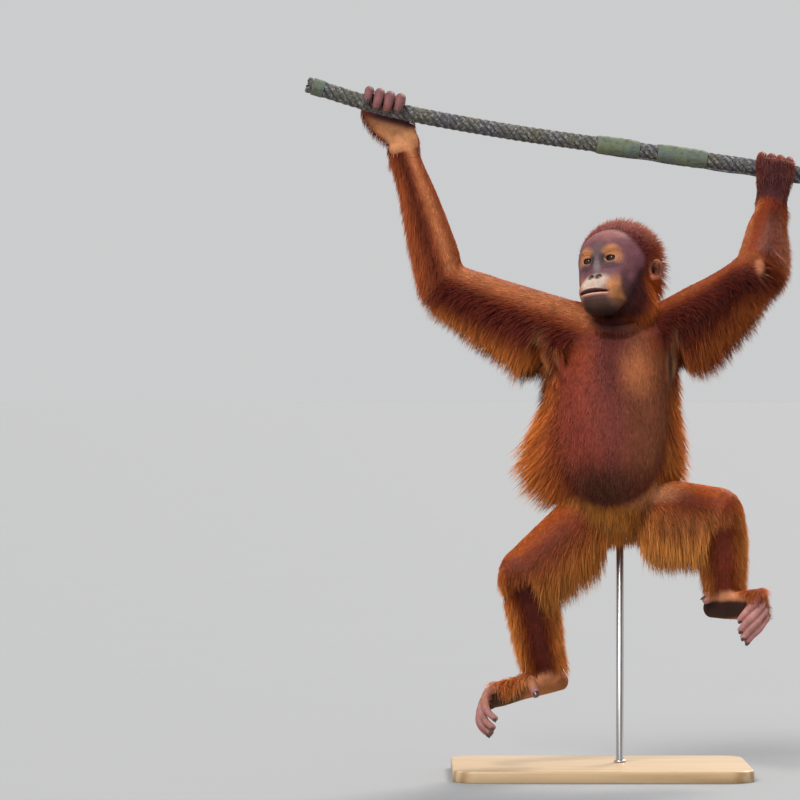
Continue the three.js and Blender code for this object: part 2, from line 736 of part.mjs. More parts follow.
for (const name of ["thigh_right", "thigh_left"]) {
  nodes[name] = largest(nodes[name].subtract(rodSolid(gap)));
}

// A flat, tapered lock that leaves the body along `out`, bends over to `lie` and is rolled
// about its length; `grow` is the clearance that it needs
function lock({ point, out }, lie, { length, dense = 0, width, roll }, grow = 0) {
  const root = point.clone().addScaledVector(out, dense - hair.sunk);
  const bend = point
    .clone()
    .addScaledVector(out, dense + 0.15 * length)
    .addScaledVector(lie, 0.35 * length);
  const tip = point.clone().addScaledVector(lie, length + 3 * grow);
  const path = new THREE.QuadraticBezierCurve3(root, bend, tip);
  const shares = length > hair.longFrom ? hair.longRows : hair.shortRows;
  const rows = shares.map(([t, wide]) => {
    const along = path.getTangent(t);
    const across = new THREE.Vector3().crossVectors(along, out).normalize().applyAxisAngle(along, roll);
    const up = new THREE.Vector3().crossVectors(across, along);
    const half = (width / 2) * wide;
    const centre = path.getPoint(t);
    const edge = half + 3 * grow;
    const corners = [[-edge, -grow], [edge, -grow], [0, hair.thickness * wide + 1.5 * grow]];
    return corners.map(([x, y]) => centre.clone().addScaledVector(across, x).addScaledVector(up, y));
  });
  const [a, b, c] = rows[0];
  return loft([[a.clone().add(b).add(c).divideScalar(3)], ...rows, [tip]]);
}

const touches = (a, b) => a.min.every((low, i) => low <= b.max[i] && b.min[i] <= a.max[i]);
const boxed = (solid) => ({ solid, box: solid.boundingBox() });

// Locks over a zone, in staggered rows; one that would meet another piece is shortened or left out
const locks = Object.fromEntries(Object.keys(nodes).map((name) => [name, []]));
const cores = Object.fromEntries(Object.entries(nodes).map(([name, solid]) => [name, boxed(solid)]));
function isClear(name, solid) {
  const box = solid.boundingBox();
  const misses = (piece) => !touches(box, piece.box) || solid.intersect(piece.solid).isEmpty();
  const others = Object.keys(nodes).filter((other) => other !== name);
  return others.every((other) => [cores[other], ...locks[other]].every(misses));
}
function growLock(name, spot, lie, size) {
  for (const share of hair.tries) {
    const cut = { ...size, length: share * size.length };
    if (cut.length < hair.shortest) return;
    if (isClear(name, lock(spot, lie, cut, gap))) {
      locks[name].push(boxed(lock(spot, lie, cut)));
      return;
    }
  }
}

// Where the locks of each zone start: rows along the limb, from and to, and locks around it
const zones = {
  torso: { from: 0.17, to: 0.96, rows: 7, around: 11, width: 42 },
  neck: { from: 0.3, to: 0.9, rows: 2, around: 7, width: 32 },
  upper_arm: { from: 0.14, to: 0.49, rows: 6, around: 7, width: 33 },
  forearm: { from: 0.52, to: 0.92, rows: 5, around: 6, width: 26 },
  thigh: { from: 0.14, to: 0.49, rows: 6, around: 8, width: 30 },
  shin: { from: 0.52, to: 0.94, rows: 5, around: 5, width: 28 },
};
const random = randomFrom(7);
const vary = (amount) => 1 + amount * (2 * random() - 1);
const varied = (length, width) => ({
  length: length * vary(hair.variation.length),
  width: width * vary(hair.variation.width),
  roll: hair.variation.roll * (vary(1) - 1),
});
for (const name of Object.keys(coats)) {
  const { limb, length, lie } = coats[name];
  const { from, to, rows, around, width } = zones[name.replace(/_(right|left)$/, "")];
  for (let row = 0; row < rows; row++) {
    for (let k = 0; k < around; k++) {
      const t = from + ((to - from) * (row + 0.5 * vary(0.6))) / rows;
      const turn = (2 * Math.PI * (k + (row % 2) / 2 + 0.15 * vary(1))) / around;
      const spot = limb.spot(t, turn);
      const coat = length(t, spot.out);
      const size = { ...varied(coat, width), dense: hair.denseShare * coat };
      if (coat > hair.shortest) growLock(name, spot, lie(t, spot.out, spot.along), size);
    }
  }
}

// Crown, back of the head and cheeks, in rings round the axis that points forward
const crown = { rings: 6, from: 0.32, to: 0.94, radius: 62, spacing: 42, width: 38 };
const hairline = (forward) => 2.2 * smooth(forward, -0.2, 0.6) - 1.45; // height of the hair's edge
for (let ring = 0; ring < crown.rings; ring++) {
  const polar = Math.PI * THREE.MathUtils.lerp(crown.from, crown.to, ring / (crown.rings - 1));
  const count = Math.max(1, Math.round((2 * Math.PI * crown.radius * Math.sin(polar)) / crown.spacing));
  for (let k = 0; k < count; k++) {
    const around = (2 * Math.PI * (k + (ring % 2) / 2 + 0.2 * vary(1))) / count;
    const ray = [Math.sin(polar) * Math.cos(around), Math.cos(polar), Math.sin(polar) * Math.sin(around)];
    if (ray[2] < hairline(ray[1])) continue;
    const point = fromHead(...onHead(ray));
    const out = point.clone().sub(fromHead(...headMiddle)).normalize();
    const top = smooth(ray[2], -0.2, 0.8);
    const lie = mixed([out, 0.45 + 0.25 * top], [headWay(0, -1, 0), 0.5], [down, 0.7 * (1 - top)]);
    growLock("head", { point, out }, lie, varied(22 + 22 * (1 - top), crown.width));
  }
}
for (const [name, grown] of Object.entries(locks)) {
  const pieces = [nodes[name], ...grown.map(({ solid }) => solid)];
  if (grown.length) nodes[name] = largest(wasm.Manifold.union(pieces));
}

// Colours
const colours = {
  coat: { color: 0x9a4a22, roughness: 0.85 },
  skin: { color: 0x6d4a44, roughness: 0.6 },
  eye: { color: 0x2a140c, roughness: 0.12 },
  rope: { color: 0x6f7268, roughness: 0.8 },
  base: { color: 0xcfc9bd, roughness: 0.6 },
  rod: { color: 0x9a9c9e, roughness: 0.3, metalness: 1 },
};
const slotOf = (name) => {
  if (name.startsWith("eye_")) return "eye";
  if (/^(ear|hand|foot)_/.test(name)) return "skin";
  return { perch_rope: "rope", stand_base: "base", stand_rod: "rod" }[name] ?? "coat";
};

const orangutan = new THREE.Group();
for (const [name, solid] of Object.entries(nodes)) {
  const material = new THREE.MeshStandardMaterial(colours[slotOf(name)]);
  const mesh = new THREE.Mesh(geometryOf(solid), material);
  mesh.name = name;
  orangutan.add(mesh);
}

export default orangutan;
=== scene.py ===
import math

import bmesh
import bpy
import numpy as np
import openvdb as vdb
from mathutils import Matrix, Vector, kdtree


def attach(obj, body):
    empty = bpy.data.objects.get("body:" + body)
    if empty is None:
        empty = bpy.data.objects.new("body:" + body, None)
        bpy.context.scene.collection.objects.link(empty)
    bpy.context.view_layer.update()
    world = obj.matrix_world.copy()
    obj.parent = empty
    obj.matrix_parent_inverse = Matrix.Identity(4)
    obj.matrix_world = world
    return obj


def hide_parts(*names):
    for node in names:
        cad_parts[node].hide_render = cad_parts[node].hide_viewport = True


# A young orangutan hanging by both hands from a length of rope, as a display model.
# Shapes are worked out in millimetres, as in the part's source, and become metres when a piece is made.
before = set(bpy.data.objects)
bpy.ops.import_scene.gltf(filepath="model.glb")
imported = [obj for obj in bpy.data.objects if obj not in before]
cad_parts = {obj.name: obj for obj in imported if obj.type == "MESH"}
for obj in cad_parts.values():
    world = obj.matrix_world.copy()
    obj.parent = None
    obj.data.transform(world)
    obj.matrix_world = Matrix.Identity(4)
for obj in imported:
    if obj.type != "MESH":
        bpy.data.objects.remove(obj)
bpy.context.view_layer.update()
mm = 0.001
print("frame loaded")


# Camera, at the photograph's angle: level, far off, looking along +Y
camera = {"place": (-0.310, -7.0, 0.58125), "width": 1.24}
cameraData = bpy.data.cameras.new("camera")
cameraData.sensor_width = 36
cameraData.lens = 36 * 7.0 / camera["width"]
cameraObject = bpy.data.objects.new("camera", cameraData)
cameraObject.location = camera["place"]
cameraObject.rotation_euler = (math.pi / 2, 0, 0)
bpy.context.scene.collection.objects.link(cameraObject)
bpy.context.scene.camera = cameraObject


# Arithmetic on rows of points
def unit(v):
    v = np.asarray(v, float)
    return v / np.maximum(np.linalg.norm(v, axis=-1, keepdims=True), 1e-9)


def smooth(x, low, high):
    s = np.clip((np.asarray(x, float) - low) / (high - low), 0, 1)
    return s * s * (3 - 2 * s)


def column(x):
    return np.asarray(x, float)[:, None]


def mixed(*pairs):
    total = 0
    for way, share in pairs:
        total = total + np.asarray(way, float) * (column(share) if np.ndim(share) else share)
    return unit(total)


def shade(r, g, b):  # a colour as a picture shows it, 0 to 255, to the shader's scale
    c = np.array([r, g, b]) / 255
    return np.where(c <= 0.04045, c / 12.92, ((c + 0.055) / 1.055) ** 2.4)


def lay(base, colour, amount):  # one colour over another
    amount = column(amount)
    return base * (1 - amount) + np.asarray(colour) * amount


down, up, front, back = (np.array(v, float) for v in ((0, 0, -1), (0, 0, 1), (0, -1, 0), (0, 1, 0)))


# The smooth curve that the part's source uses: centripetal, through every point
def along(points, ts):
    points = np.asarray(points, float)
    padded = np.vstack([2 * points[0] - points[1], points, 2 * points[-1] - points[-2]])
    place = np.clip(np.asarray(ts, float), 0, 1) * (len(points) - 1)
    index = np.minimum(place.astype(int), len(points) - 2)
    w = column(place - index)
    a, b, c, d = (padded[index + k] for k in range(4))
    gaps = (b - a, c - b, d - c)
    ab, bc, cd = (np.sqrt(np.linalg.norm(gap, axis=1, keepdims=True)) for gap in gaps)
    bc = np.where(bc < 1e-4, 1, bc)
    ab = np.where(ab < 1e-4, bc, ab)
    cd = np.where(cd < 1e-4, bc, cd)
    start = ((b - a) / ab - (c - a) / (ab + bc) + (c - b) / bc) * bc
    end = ((c - b) / bc - (d - b) / (bc + cd) + (d - c) / cd) * bc
    return b + w * (start + w * (-3 * b + 3 * c - 2 * start - end + w * (2 * b - 2 * c + start + end)))


# A long form through stations (centre, half width, half depth)
class Limb:
    def __init__(self, stations, facing=front):
        self.path = [np.asarray(s[0], float) for s in stations]
        self.sizes = [(s[1], s[2], 0) for s in stations]
        self.facing = facing
        self.spine = self.section(np.linspace(0, 1, 97))

    def section(self, ts):
        ts = np.asarray(ts, float)
        way = unit(along(self.path, ts + 1e-4) - along(self.path, ts - 1e-4))
        across = unit(np.cross(way, self.facing))
        size = along(self.sizes, ts)
        return {"t": ts, "centre": along(self.path, ts), "along": way, "across": across,
                "up": unit(np.cross(across, way)), "wide": size[:, 0], "deep": size[:, 1]}

    def mesh(self, sides=40, steps=60):
        caps = np.array([0, 0.2, 0.42, 0.66, 0.86]) * math.pi / 2
        rows = [(0, math.sin(a), -0.75 * math.cos(a)) for a in caps]
        rows += [(i / steps, 1, 0) for i in range(steps + 1)]
        rows += [(1, math.sin(a), 0.75 * math.cos(a)) for a in caps[::-1]]
        ts, narrow, slide = (np.array(v, float) for v in zip(*rows))
        s = self.section(ts)
        turn = 2 * math.pi * np.arange(sides) / sides
        wide, deep = s["wide"] * narrow, s["deep"] * narrow
        centre = s["centre"] + s["along"] * column(slide * np.minimum(s["wide"], s["deep"]))
        rings = (centre[:, None] + s["across"][:, None] * (wide[:, None] * np.cos(turn))[..., None]
                 + s["up"][:, None] * (deep[:, None] * np.sin(turn))[..., None])
        return rings.reshape(-1, 3), tube(len(rows), sides)

    # For each point: t, outward way, lengthwise way, turn and distance from the surface
    def near(self, points):
        s = self.spine
        gap = (points ** 2).sum(1)[:, None] - 2 * points @ s["centre"].T + (s["centre"] ** 2).sum(1)
        j = gap.argmin(1)
        v = points - s["centre"][j]
        slide = (v * s["along"][j]).sum(1)
        a = (v * s["across"][j]).sum(1) / s["wide"][j]
        b = (v * s["up"][j]).sum(1) / s["deep"][j]
        out = unit(s["across"][j] * column(a / s["wide"][j]) + s["up"][j] * column(b / s["deep"][j]))
        small = np.minimum(s["wide"][j], s["deep"][j])
        past = np.where((j == 0) | (j == len(s["t"]) - 1), np.abs(slide), 0) / small
        far = (np.sqrt(a * a + b * b + past ** 2) - 1) * small
        return {"t": s["t"][j], "out": out, "along": s["along"][j], "turn": turnShare(b, a), "far": far}


def turnShare(up, across):  # a turn about an axis, as a share of the whole turn
    return np.arctan2(up, across) / (2 * math.pi) + 0.5


def tube(rows, sides):  # faces between rings of points, with a fan at each end
    ring = np.arange(rows - 1)[:, None] * sides
    k = np.arange(sides)
    n = (k + 1) % sides
    quads = np.stack([ring + k, ring + n, ring + sides + n, ring + sides + k], -1).reshape(-1, 4)
    return np.vstack([quads[:, [0, 1, 2]], quads[:, [0, 2, 3]]])


def volumeOf(points, faces):
    a, b, c = (points[faces[:, i]] for i in range(3))
    return np.einsum("ij,ij->i", a, np.cross(b, c)).sum() / 6


# Pieces
def makePiece(name, points, faces, finish, slot=None, nodes=()):
    faces = np.asarray(faces, np.int32)
    points = np.asarray(points, float)
    fan = np.vstack([faces[:, [0, 1, 2]], faces[:, [0, 2, 3]]]) if faces.shape[1] == 4 else faces
    if volumeOf(points, fan) < 0:
        faces = faces[:, ::-1]
    mesh = bpy.data.meshes.new(name)
    count, corners = faces.shape
    mesh.vertices.add(len(points))
    mesh.vertices.foreach_set("co", (points * mm).astype(np.float32).ravel())
    mesh.loops.add(count * corners)
    mesh.loops.foreach_set("vertex_index", np.ascontiguousarray(faces).ravel())
    mesh.polygons.add(count)
    mesh.polygons.foreach_set("loop_start", np.arange(0, count * corners, corners, dtype=np.int32))
    mesh.polygons.foreach_set("use_smooth", np.full(count, True))
    mesh.update(calc_edges=True)
    piece = bpy.data.objects.new(name, mesh)
    bpy.context.scene.collection.objects.link(piece)
    return placePiece(piece, finish, nodes)


def placePiece(piece, finish, nodes=()):
    piece.data.materials.clear()
    piece.data.materials.append(finish)
    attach(piece, "root")
    if nodes:
        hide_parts(*nodes)
    return piece


def paint(piece, name, values):  # a value or a colour for each point of a piece
    if np.ndim(values) == 1:
        layer = piece.data.attributes.new(name, "FLOAT", "POINT")
        layer.data.foreach_set("value", np.asarray(values, np.float32))
    else:
        layer = piece.data.color_attributes.new(name, "FLOAT_COLOR", "POINT")
        solid = np.hstack([values, np.ones((len(values), 1))])
        layer.data.foreach_set("color", solid.astype(np.float32).ravel())


# Materials
class Finish:
    def __init__(self, name, **sockets):
        self.material = bpy.data.materials.new(name)
        self.material.use_nodes = True
        self.tree = self.material.node_tree
        self.shader = self.tree.nodes["Principled BSDF"]
        for socket, value in sockets.items():
            self.shader.inputs[socket.replace("_", " ")].default_value = value

    def add(self, kind, inputs=None, **settings):
        node = self.tree.nodes.new("ShaderNode" + kind)
        for key, value in settings.items():
            setattr(node, key, value)
        for key, value in (inputs or {}).items():
            if isinstance(value, bpy.types.NodeSocket):
                self.tree.links.new(value, node.inputs[key])
            else:
                node.inputs[key].default_value = value
        return node

    def link(self, output, socket):
        self.tree.links.new(output, self.shader.inputs[socket])

    def attribute(self, name, output="Color"):
        return self.add("Attribute", attribute_name=name).outputs[output]

    def place(self, stretch=(1, 1, 1)):  # where a point is, in metres
        spot = self.add("TexCoord").outputs["Object"]
        return self.add("Mapping", {"Vector": spot, "Scale": stretch}).outputs["Vector"]

    def noise(self, vector, scale, detail=3.0, roughness=0.55):
        inputs = {"Vector": vector, "Scale": scale, "Detail": detail, "Roughness": roughness}
        return self.add("TexNoise", inputs).outputs["Fac"]

    def range(self, value, low, high, start=0.0, end=1.0):
        inputs = {"Value": value, "From Min": start, "From Max": end, "To Min": low, "To Max": high}
        return self.add("MapRange", inputs).outputs["Result"]

    def times(self, a, b, operation="MULTIPLY"):
        return self.add("Math", {0: a, 1: b}, operation=operation).outputs[0]

    def wave(self, value):
        return self.add("Math", {0: value}, operation="SINE").outputs[0]

    def tint(self, colour, amount):  # a colour made darker or lighter
        return self.add("VectorMath", {0: colour, "Scale": amount}, operation="SCALE").outputs[0]

    def blend(self, share, a, b):
        return self.add("Mix", {0: share, 6: a, 7: b}, data_type="RGBA").outputs[2]

    def bump(self, height, strength, distance, under=None):
        inputs = {"Height": height, "Strength": strength, "Distance": distance}
        if under is not None:
            inputs["Normal"] = under
        return self.add("Bump", inputs).outputs["Normal"]


def rgba(colour):
    return (*[float(c) for c in colour], 1.0)


# The body's plan, as in the part's source
joints = {
    "skull": (22, -8, 792),
    "shoulderRight": (-42, 10, 690), "elbowRight": (-234, 0, 768), "wristRight": (-305, 10, 976),
    "shoulderLeft": (104, 6, 690), "elbowLeft": (229, -112, 780), "wristLeft": (268, 30, 888),
    "hipRight": (-6, 12, 416), "kneeRight": (-127, -52, 320), "ankleRight": (-83, 4, 160),
    "hipLeft": (74, 10, 420), "kneeLeft": (181, -92, 417), "ankleLeft": (190, -44, 290),
}
joints = {name: np.array(spot, float) for name, spot in joints.items()}


def straight(a, b, share):
    return joints[a] * (1 - share) + joints[b] * share


def armForm(side, inward, bow):
    shoulder, elbow, wrist = "shoulder" + side, "elbow" + side, "wrist" + side
    return Limb([
        (joints[shoulder] + inward, 36, 32), (joints[shoulder], 42, 40),
        (straight(shoulder, elbow, 0.3), 37, 36), (straight(shoulder, elbow, 0.7) + bow, 33, 32),
        (joints[elbow], 30, 30), (straight(elbow, wrist, 0.25) + bow, 30, 29),
        (straight(elbow, wrist, 0.6), 25, 23), (straight(elbow, wrist, 0.9), 19, 18),
        (joints[wrist], 19.5, 16),
    ])


def legForm(side, inward, calf):
    hip, knee, ankle = "hip" + side, "knee" + side, "ankle" + side
    return Limb([
        (joints[hip] + inward, 41, 41), (joints[hip], 40, 40), (straight(hip, knee, 0.5), 36, 37),
        (straight(hip, knee, 0.88), 31, 31), (joints[knee], 29, 30),
        (straight(knee, ankle, 0.14) + calf, 30, 31), (straight(knee, ankle, 0.42) + calf, 30, 31),
        (straight(knee, ankle, 0.8), 25, 25), (joints[ankle], 21, 21.5),
    ])


limbs = {
    "torso": Limb([
        ((28, 8, 694), 48, 38), ((29, 8, 676), 76, 50), ((27, 4, 640), 84, 60), ((20, -4, 585), 86, 70),
        ((17, -10, 535), 88, 77), ((18, -14, 488), 83, 80), ((22, -8, 448), 66, 70),
        ((29, 10, 418), 52, 48), ((34, 20, 398), 42, 38),
    ]),
    "neck": Limb([((29, 16, 680), 46, 40), ((27, 10, 712), 42, 38), ((24, 2, 745), 40, 38)]),
    "armRight": armForm("Right", (34, -2, -16), (-1, 0, -3)),
    "armLeft": armForm("Left", (-34, 2, -16), (3, -4, -3)),
    "legRight": legForm("Right", (22, 2, 10), (5, 6, 0)),
    "legLeft": legForm("Left", (-22, 4, 6), (0, 8, 0)),
}

# Head: x to its left, y forward, z up from the middle of the skull
headTurn = {"yaw": 31, "pitch": 8, "roll": 8}
headForms = [
    ((0, -4, 0), (57, 62, 56)), ((0, 28, -29), (45, 34, 42)), ((0, 53, -52), (34, 29, 24)),
    ((0, 46, -69), (31, 29, 20)), ((26, 10, -46), (21, 36, 28)), ((-26, 10, -46), (21, 36, 28)),
]
headBlend = 11
eye = {"x": 20, "y": 42, "z": -2, "radius": 9.5, "lid": 2.0, "halfWidth": 7.9, "halfHeight": 4.4}
mouth = {"y": 64, "z": -58, "halfWidth": 24.5, "depth": 17}
ear = {
    "x": 54, "y": -17, "z": -15, "radii": (5, 12, 17.5), "flare": 40, "lean": math.degrees(0.12),
    "rim": 2.6, "middle": (62, -19, -15),
}


def turnBy(axis, degrees):
    c, s = math.cos(math.radians(degrees)), math.sin(math.radians(degrees))
    turns = {"x": ((1, 0, 0), (0, c, -s), (0, s, c)), "y": ((c, 0, s), (0, 1, 0), (-s, 0, c)),
             "z": ((c, -s, 0), (s, c, 0), (0, 0, 1))}
    return np.array(turns[axis])


headAxes = (turnBy("z", -headTurn["yaw"]) @ turnBy("x", -headTurn["pitch"]) @ turnBy("y", -headTurn["roll"])
            @ np.diag([1, -1, 1]))


def toHead(points):
    return (np.asarray(points, float) - joints["skull"]) @ headAxes


def fromHead(points):
    return np.asarray(points, float) @ headAxes.T + joints["skull"]


# Distances, negative inside
def merge(a, b, soft):
    if a is None:
        return b
    if soft <= 0:
        return np.minimum(a, b)
    mix = np.maximum(soft - np.abs(a - b), 0) / soft
    return np.minimum(a, b) - mix * mix * soft / 4


def carve(a, b, soft):
    return -merge(-a, b, soft)


def egg(p, centre, radii, turn=None):
    d = p - np.asarray(centre, p.dtype)
    if turn is not None:
        d = d @ turn.astype(p.dtype)
    radii = np.asarray(radii, p.dtype)
    close = np.sqrt((d * d / radii ** 2).sum(-1))
    steep = np.sqrt((d * d / radii ** 4).sum(-1))
    return close * (close - 1) / np.maximum(steep, 1e-6)


def bar(p, path, radii):  # a rounded bar through points, thick as its radii say
    best = None
    for a, b, ra, rb in zip(path[:-1], path[1:], radii[:-1], radii[1:]):
        a, b = np.asarray(a, p.dtype), np.asarray(b, p.dtype)
        h = np.clip(((p - a) @ (b - a)) / ((b - a) @ (b - a)), 0, 1)
        d = np.linalg.norm(p - a - h[..., None] * (b - a), axis=-1) - (ra + h * (rb - ra))
        best = d if best is None else np.minimum(best, d)
    return best


def plainHead(p):
    total = None
    for centre, radii in headForms:
        total = merge(total, egg(p, centre, radii), headBlend)
    return total


# Skin details of the face
face = {
    "orbit": (15, 11, 11), "lidFold": 0.6, "lidPitch": 3.9,
    "nostril": (6.2, 67.5, -33.2), "nostrilSize": (5.0, 7.2, 3.7),
    "wing": (7.2, 63, -32), "wingSize": (6.6, 5, 5.6),
}


def lipPath(level, rise, stand):
    xs = np.linspace(-1, 1, 9) * mouth["halfWidth"]
    path = []
    for x in xs:
        z = level + rise * (1 - (x / mouth["halfWidth"]) ** 2)
        ys = np.arange(mouth["y"] + mouth["depth"] + 6, 20, -0.25)
        d = plainHead(np.stack([np.full_like(ys, x), ys, np.full_like(ys, z)], -1))
        path.append((x, ys[np.argmax(d < -stand)], z))
    return path


lowerLipPath = lipPath(mouth["z"] - 3.4, 0.6, -1.2)
upperLipPath = lipPath(mouth["z"] + 2.0, 2.2, -1.4)


def onSide(spot, side):
    return side * spot[0], spot[1], spot[2]


def faceOf(p):
    x, y, z = p[..., 0], p[..., 1], p[..., 2]
    d = plainHead(p)
    d = merge(d, egg(p, (0, 61, -31), (8, 6.5, 6)), 5)  # flat nose
    d = merge(d, egg(p, (0, 50, -14), (5, 7, 14)), 6)  # bridge
    for side in (-1, 1):
        eyeSpot = (side * eye["x"], eye["y"], eye["z"])
        d = merge(d, egg(p, (side * 18, 47, 13), (13, 7, 5)), 6)  # brow
        d = carve(d, egg(p, (side * (eye["x"] + 1), eye["y"] + 21, eye["z"]), face["orbit"]), 5)
        d = merge(d, egg(p, eyeSpot, [eye["radius"] + eye["lid"]] * 3), 2.5)
        d = merge(d, egg(p, (side * (eye["x"] + 1), eye["y"] + 1.5, eye["z"] - 7), (11, 9, 5)), 3)
        around = np.hypot(x - eyeSpot[0], (z - eyeSpot[2]) * 1.15)
        ripple = np.cos((around - 10.6) * 2 * math.pi / face["lidPitch"])
        ripple = ripple * smooth(around, 8.2, 9.4) * (1 - smooth(around, 15, 20))
        d = d + face["lidFold"] * ripple * smooth(y, 36, 44)
        d = merge(d, egg(p, onSide(face["wing"], side), face["wingSize"]), 3)
        d = merge(d, egg(p, (side * 25, 45, -28), (9, 8, 10)), 8)  # cheek pad beside the nose
    d = merge(d, bar(p, upperLipPath, [1.2, 1.8, 2.2, 2.4, 2.4, 2.4, 2.2, 1.8, 1.2]), 2.5)
    d = merge(d, bar(p, lowerLipPath, [1.2, 1.7, 2.1, 2.3, 2.4, 2.3, 2.1, 1.7, 1.2]), 1.5)
    for side in (-1, 1):
        eyeSpot = (side * eye["x"], eye["y"], eye["z"])
        slitSize = (eye["halfWidth"], 8, eye["halfHeight"])
        d = carve(d, egg(p, (side * (eye["x"] - 0.3), eye["y"] + 9, eye["z"]), slitSize), 0.7)
        d = carve(d, egg(p, eyeSpot, [eye["radius"] + 0.15] * 3), 0.2)
        turn = turnBy("z", side * 16) @ turnBy("x", -28) @ turnBy("y", side * 14)
        d = carve(d, egg(p, onSide(face["nostril"], side), face["nostrilSize"], turn), 1.0)
    slit = egg(p, (0, mouth["y"] - 2, mouth["z"]), (mouth["halfWidth"], mouth["depth"] + 6, 1.05))
    d = carve(d, slit, 0.9)
    wrinkle = 0.22 * np.cos(x * 2 * math.pi / 4.3 + 1.2 * np.cos(z * 0.4))  # upright folds of the upper lip
    d = d + wrinkle * smooth(y, 60, 70) * smooth(z, -56, -50) * (1 - smooth(z, -44, -38))
    return d


def earsOf(p):
    d = None
    for side in (-1, 1):
        turn = turnBy("x", ear["lean"]) @ turnBy("z", side * ear["flare"])

        def part(offset, radii):
            spot = turn @ np.array([side * offset[0], offset[1], offset[2]])
            return egg(p, spot + (side * ear["x"], ear["y"], ear["z"]), radii, turn)

        w, h = ear["radii"][1], ear["radii"][2]
        one = merge(part((5, -7, 0), ear["radii"]), part((4, -2, -13), (4, 6, 6)), 3)
        one = merge(one, part((1, 5, -2), (8, 7, 11)), 3)
        one = carve(one, part((10.2, -6.8, 1), (5.2, w - ear["rim"], h - ear["rim"] - 1.3)), 1.2)
        one = merge(one, part((6.2, -8.5, 1), (2.2, 3.2, 10.5)), 1.6)  # inner fold
        one = carve(one, part((5.5, -3, -3), (4.6, 5, 6)), 1.0)
        d = merge(d, one, 0)
    return d


# Rope
rope = {
    "radius": 12.5, "strands": 6, "layLength": 74, "sleeveRadius": 14.6,
    "path": [(-452, -26, 1068), (-332, -12, 1033), (-155, 8, 1000), (64, 34, 970), (278, 60, 940),
             (372, 72, 925)],
    "sleeves": [(0.538, 0.598), (0.624, 0.692)],
}


def nearRope(spot):
    line = along(rope["path"], np.linspace(0, 1, 801))
    i = int(np.linalg.norm(line - spot, axis=1).argmin())
    i = min(max(i, 1), 799)
    return line[i], unit(line[i + 1] - line[i - 1])


# Hands and feet, as lists of (form, kind)
clear = 0.3  # between the hands and the rope
palm = {"halfWidth": 29, "halfDepth": 11.5}
finger = {"pitch": 14.6, "shares": [1, 1.08, 1.06, 0.94], "bends": [0.1, 0.75, 1.4, 2.05, 2.7, 3.2],
          "radii": [7.9, 7.9, 6.9, 7.5, 6.5, 5.9]}
toe = {"pitch": 13, "shares": [0.96, 1.05, 1.02, 0.9], "radii": [7.5, 7.0, 6.1, 6.6, 5.7, 5.1],
       "big": [9.5, 8.2, 6.6]}


def handForms(wrist, grip, spread, backWay, thumbSide):
    centre, way = nearRope(np.array(grip, float))
    upward = np.cross(way, backWay)
    upward = upward if upward[2] > 0 else -upward

    def around(angle, reach, slide):
        return centre + way * slide + backWay * reach * math.cos(angle) + upward * reach * math.sin(angle)

    deep = rope["radius"] + palm["halfDepth"] + clear
    w, h = palm["halfWidth"] * spread, palm["halfDepth"]
    knuckles = around(0, deep, 0)
    forms = [(Limb([
        (wrist - upward * 8, 19, 15.6), (wrist + upward * 8, 20.6, 14.6),
        (wrist * 0.34 + knuckles * 0.66, w - 2.8, h - 0.3), (knuckles, w - 0.4, h - 1),
        (around(0.45, deep, 0), w - 2, h - 2),
    ], backWay), "palm")]
    for i, share in enumerate(finger["shares"]):
        slide = thumbSide * (1.5 - i) * finger["pitch"] * spread
        stations = []
        for bend, size in zip(finger["bends"], finger["radii"]):
            size = size * spread * (0.9 if i == 3 else 1)
            stations.append((around(bend * share, rope["radius"] + size + clear, slide), size, size))
        forms.append((Limb(stations, way), "finger"))
    root = wrist * 0.8 + knuckles * 0.2 + way * thumbSide * 12
    reach = [(0, 0, 0, 8.4), (2, 11, 4, 7.3), (3, 23, 7, 6)]
    thumb = [(root + way * thumbSide * a + upward * b - backWay * c, r, r) for a, b, c, r in reach]
    forms.append((Limb(thumb, backWay), "thumb"))
    return {"forms": forms, "centre": centre, "way": way, "upward": upward, "back": backWay}


def footForms(heel, ball, sole, inner, ankle, curl, bigFrom, bigBends):
    heel, ball, sole, inner = (np.array(v, float) for v in (heel, ball, sole, inner))
    sole, inner, long = unit(sole), unit(inner), unit(ball - heel)
    mid = (heel + ball) / 2

    def offset(spot, steps, share=1.0):
        return spot + (long * steps[0] + sole * steps[1] + inner * steps[2]) * share

    forms = [(Limb([
        (offset(heel, (0, -4, 0)), 15, 15), (offset(heel * 0.78 + ball * 0.22, (0, -6, 0)), 20, 17),
        (offset(mid, (0, -4, 0)), 23, 13.5), (heel * 0.18 + ball * 0.82, 26, 11), (ball, 26.3, 9.3),
    ], sole), "sole"), (Limb([
        (offset(ankle, (0, -12, 0)), 18.6, 19.6), (ankle, 18.8, 19.8), (ankle * 0.45 + mid * 0.55, 19, 17),
    ], long), "instep")]
    for i, share in enumerate(toe["shares"]):
        root = offset(ball, (-6, 0, (1.5 - i) * toe["pitch"]))
        stations = [(offset(root, bend, share), r, r) for bend, r in zip(curl, toe["radii"])]
        forms.append((Limb(stations, inner), "toe"))
    root = offset(heel * (1 - bigFrom) + ball * bigFrom, (0, 0, 14))
    stations = [(offset(root, bend), r, r) for bend, r in zip(bigBends, toe["big"])]
    forms.append((Limb(stations, long), "bigToe"))
    return {"forms": forms, "sole": sole, "inner": inner, "long": long, "ball": ball, "heel": heel}


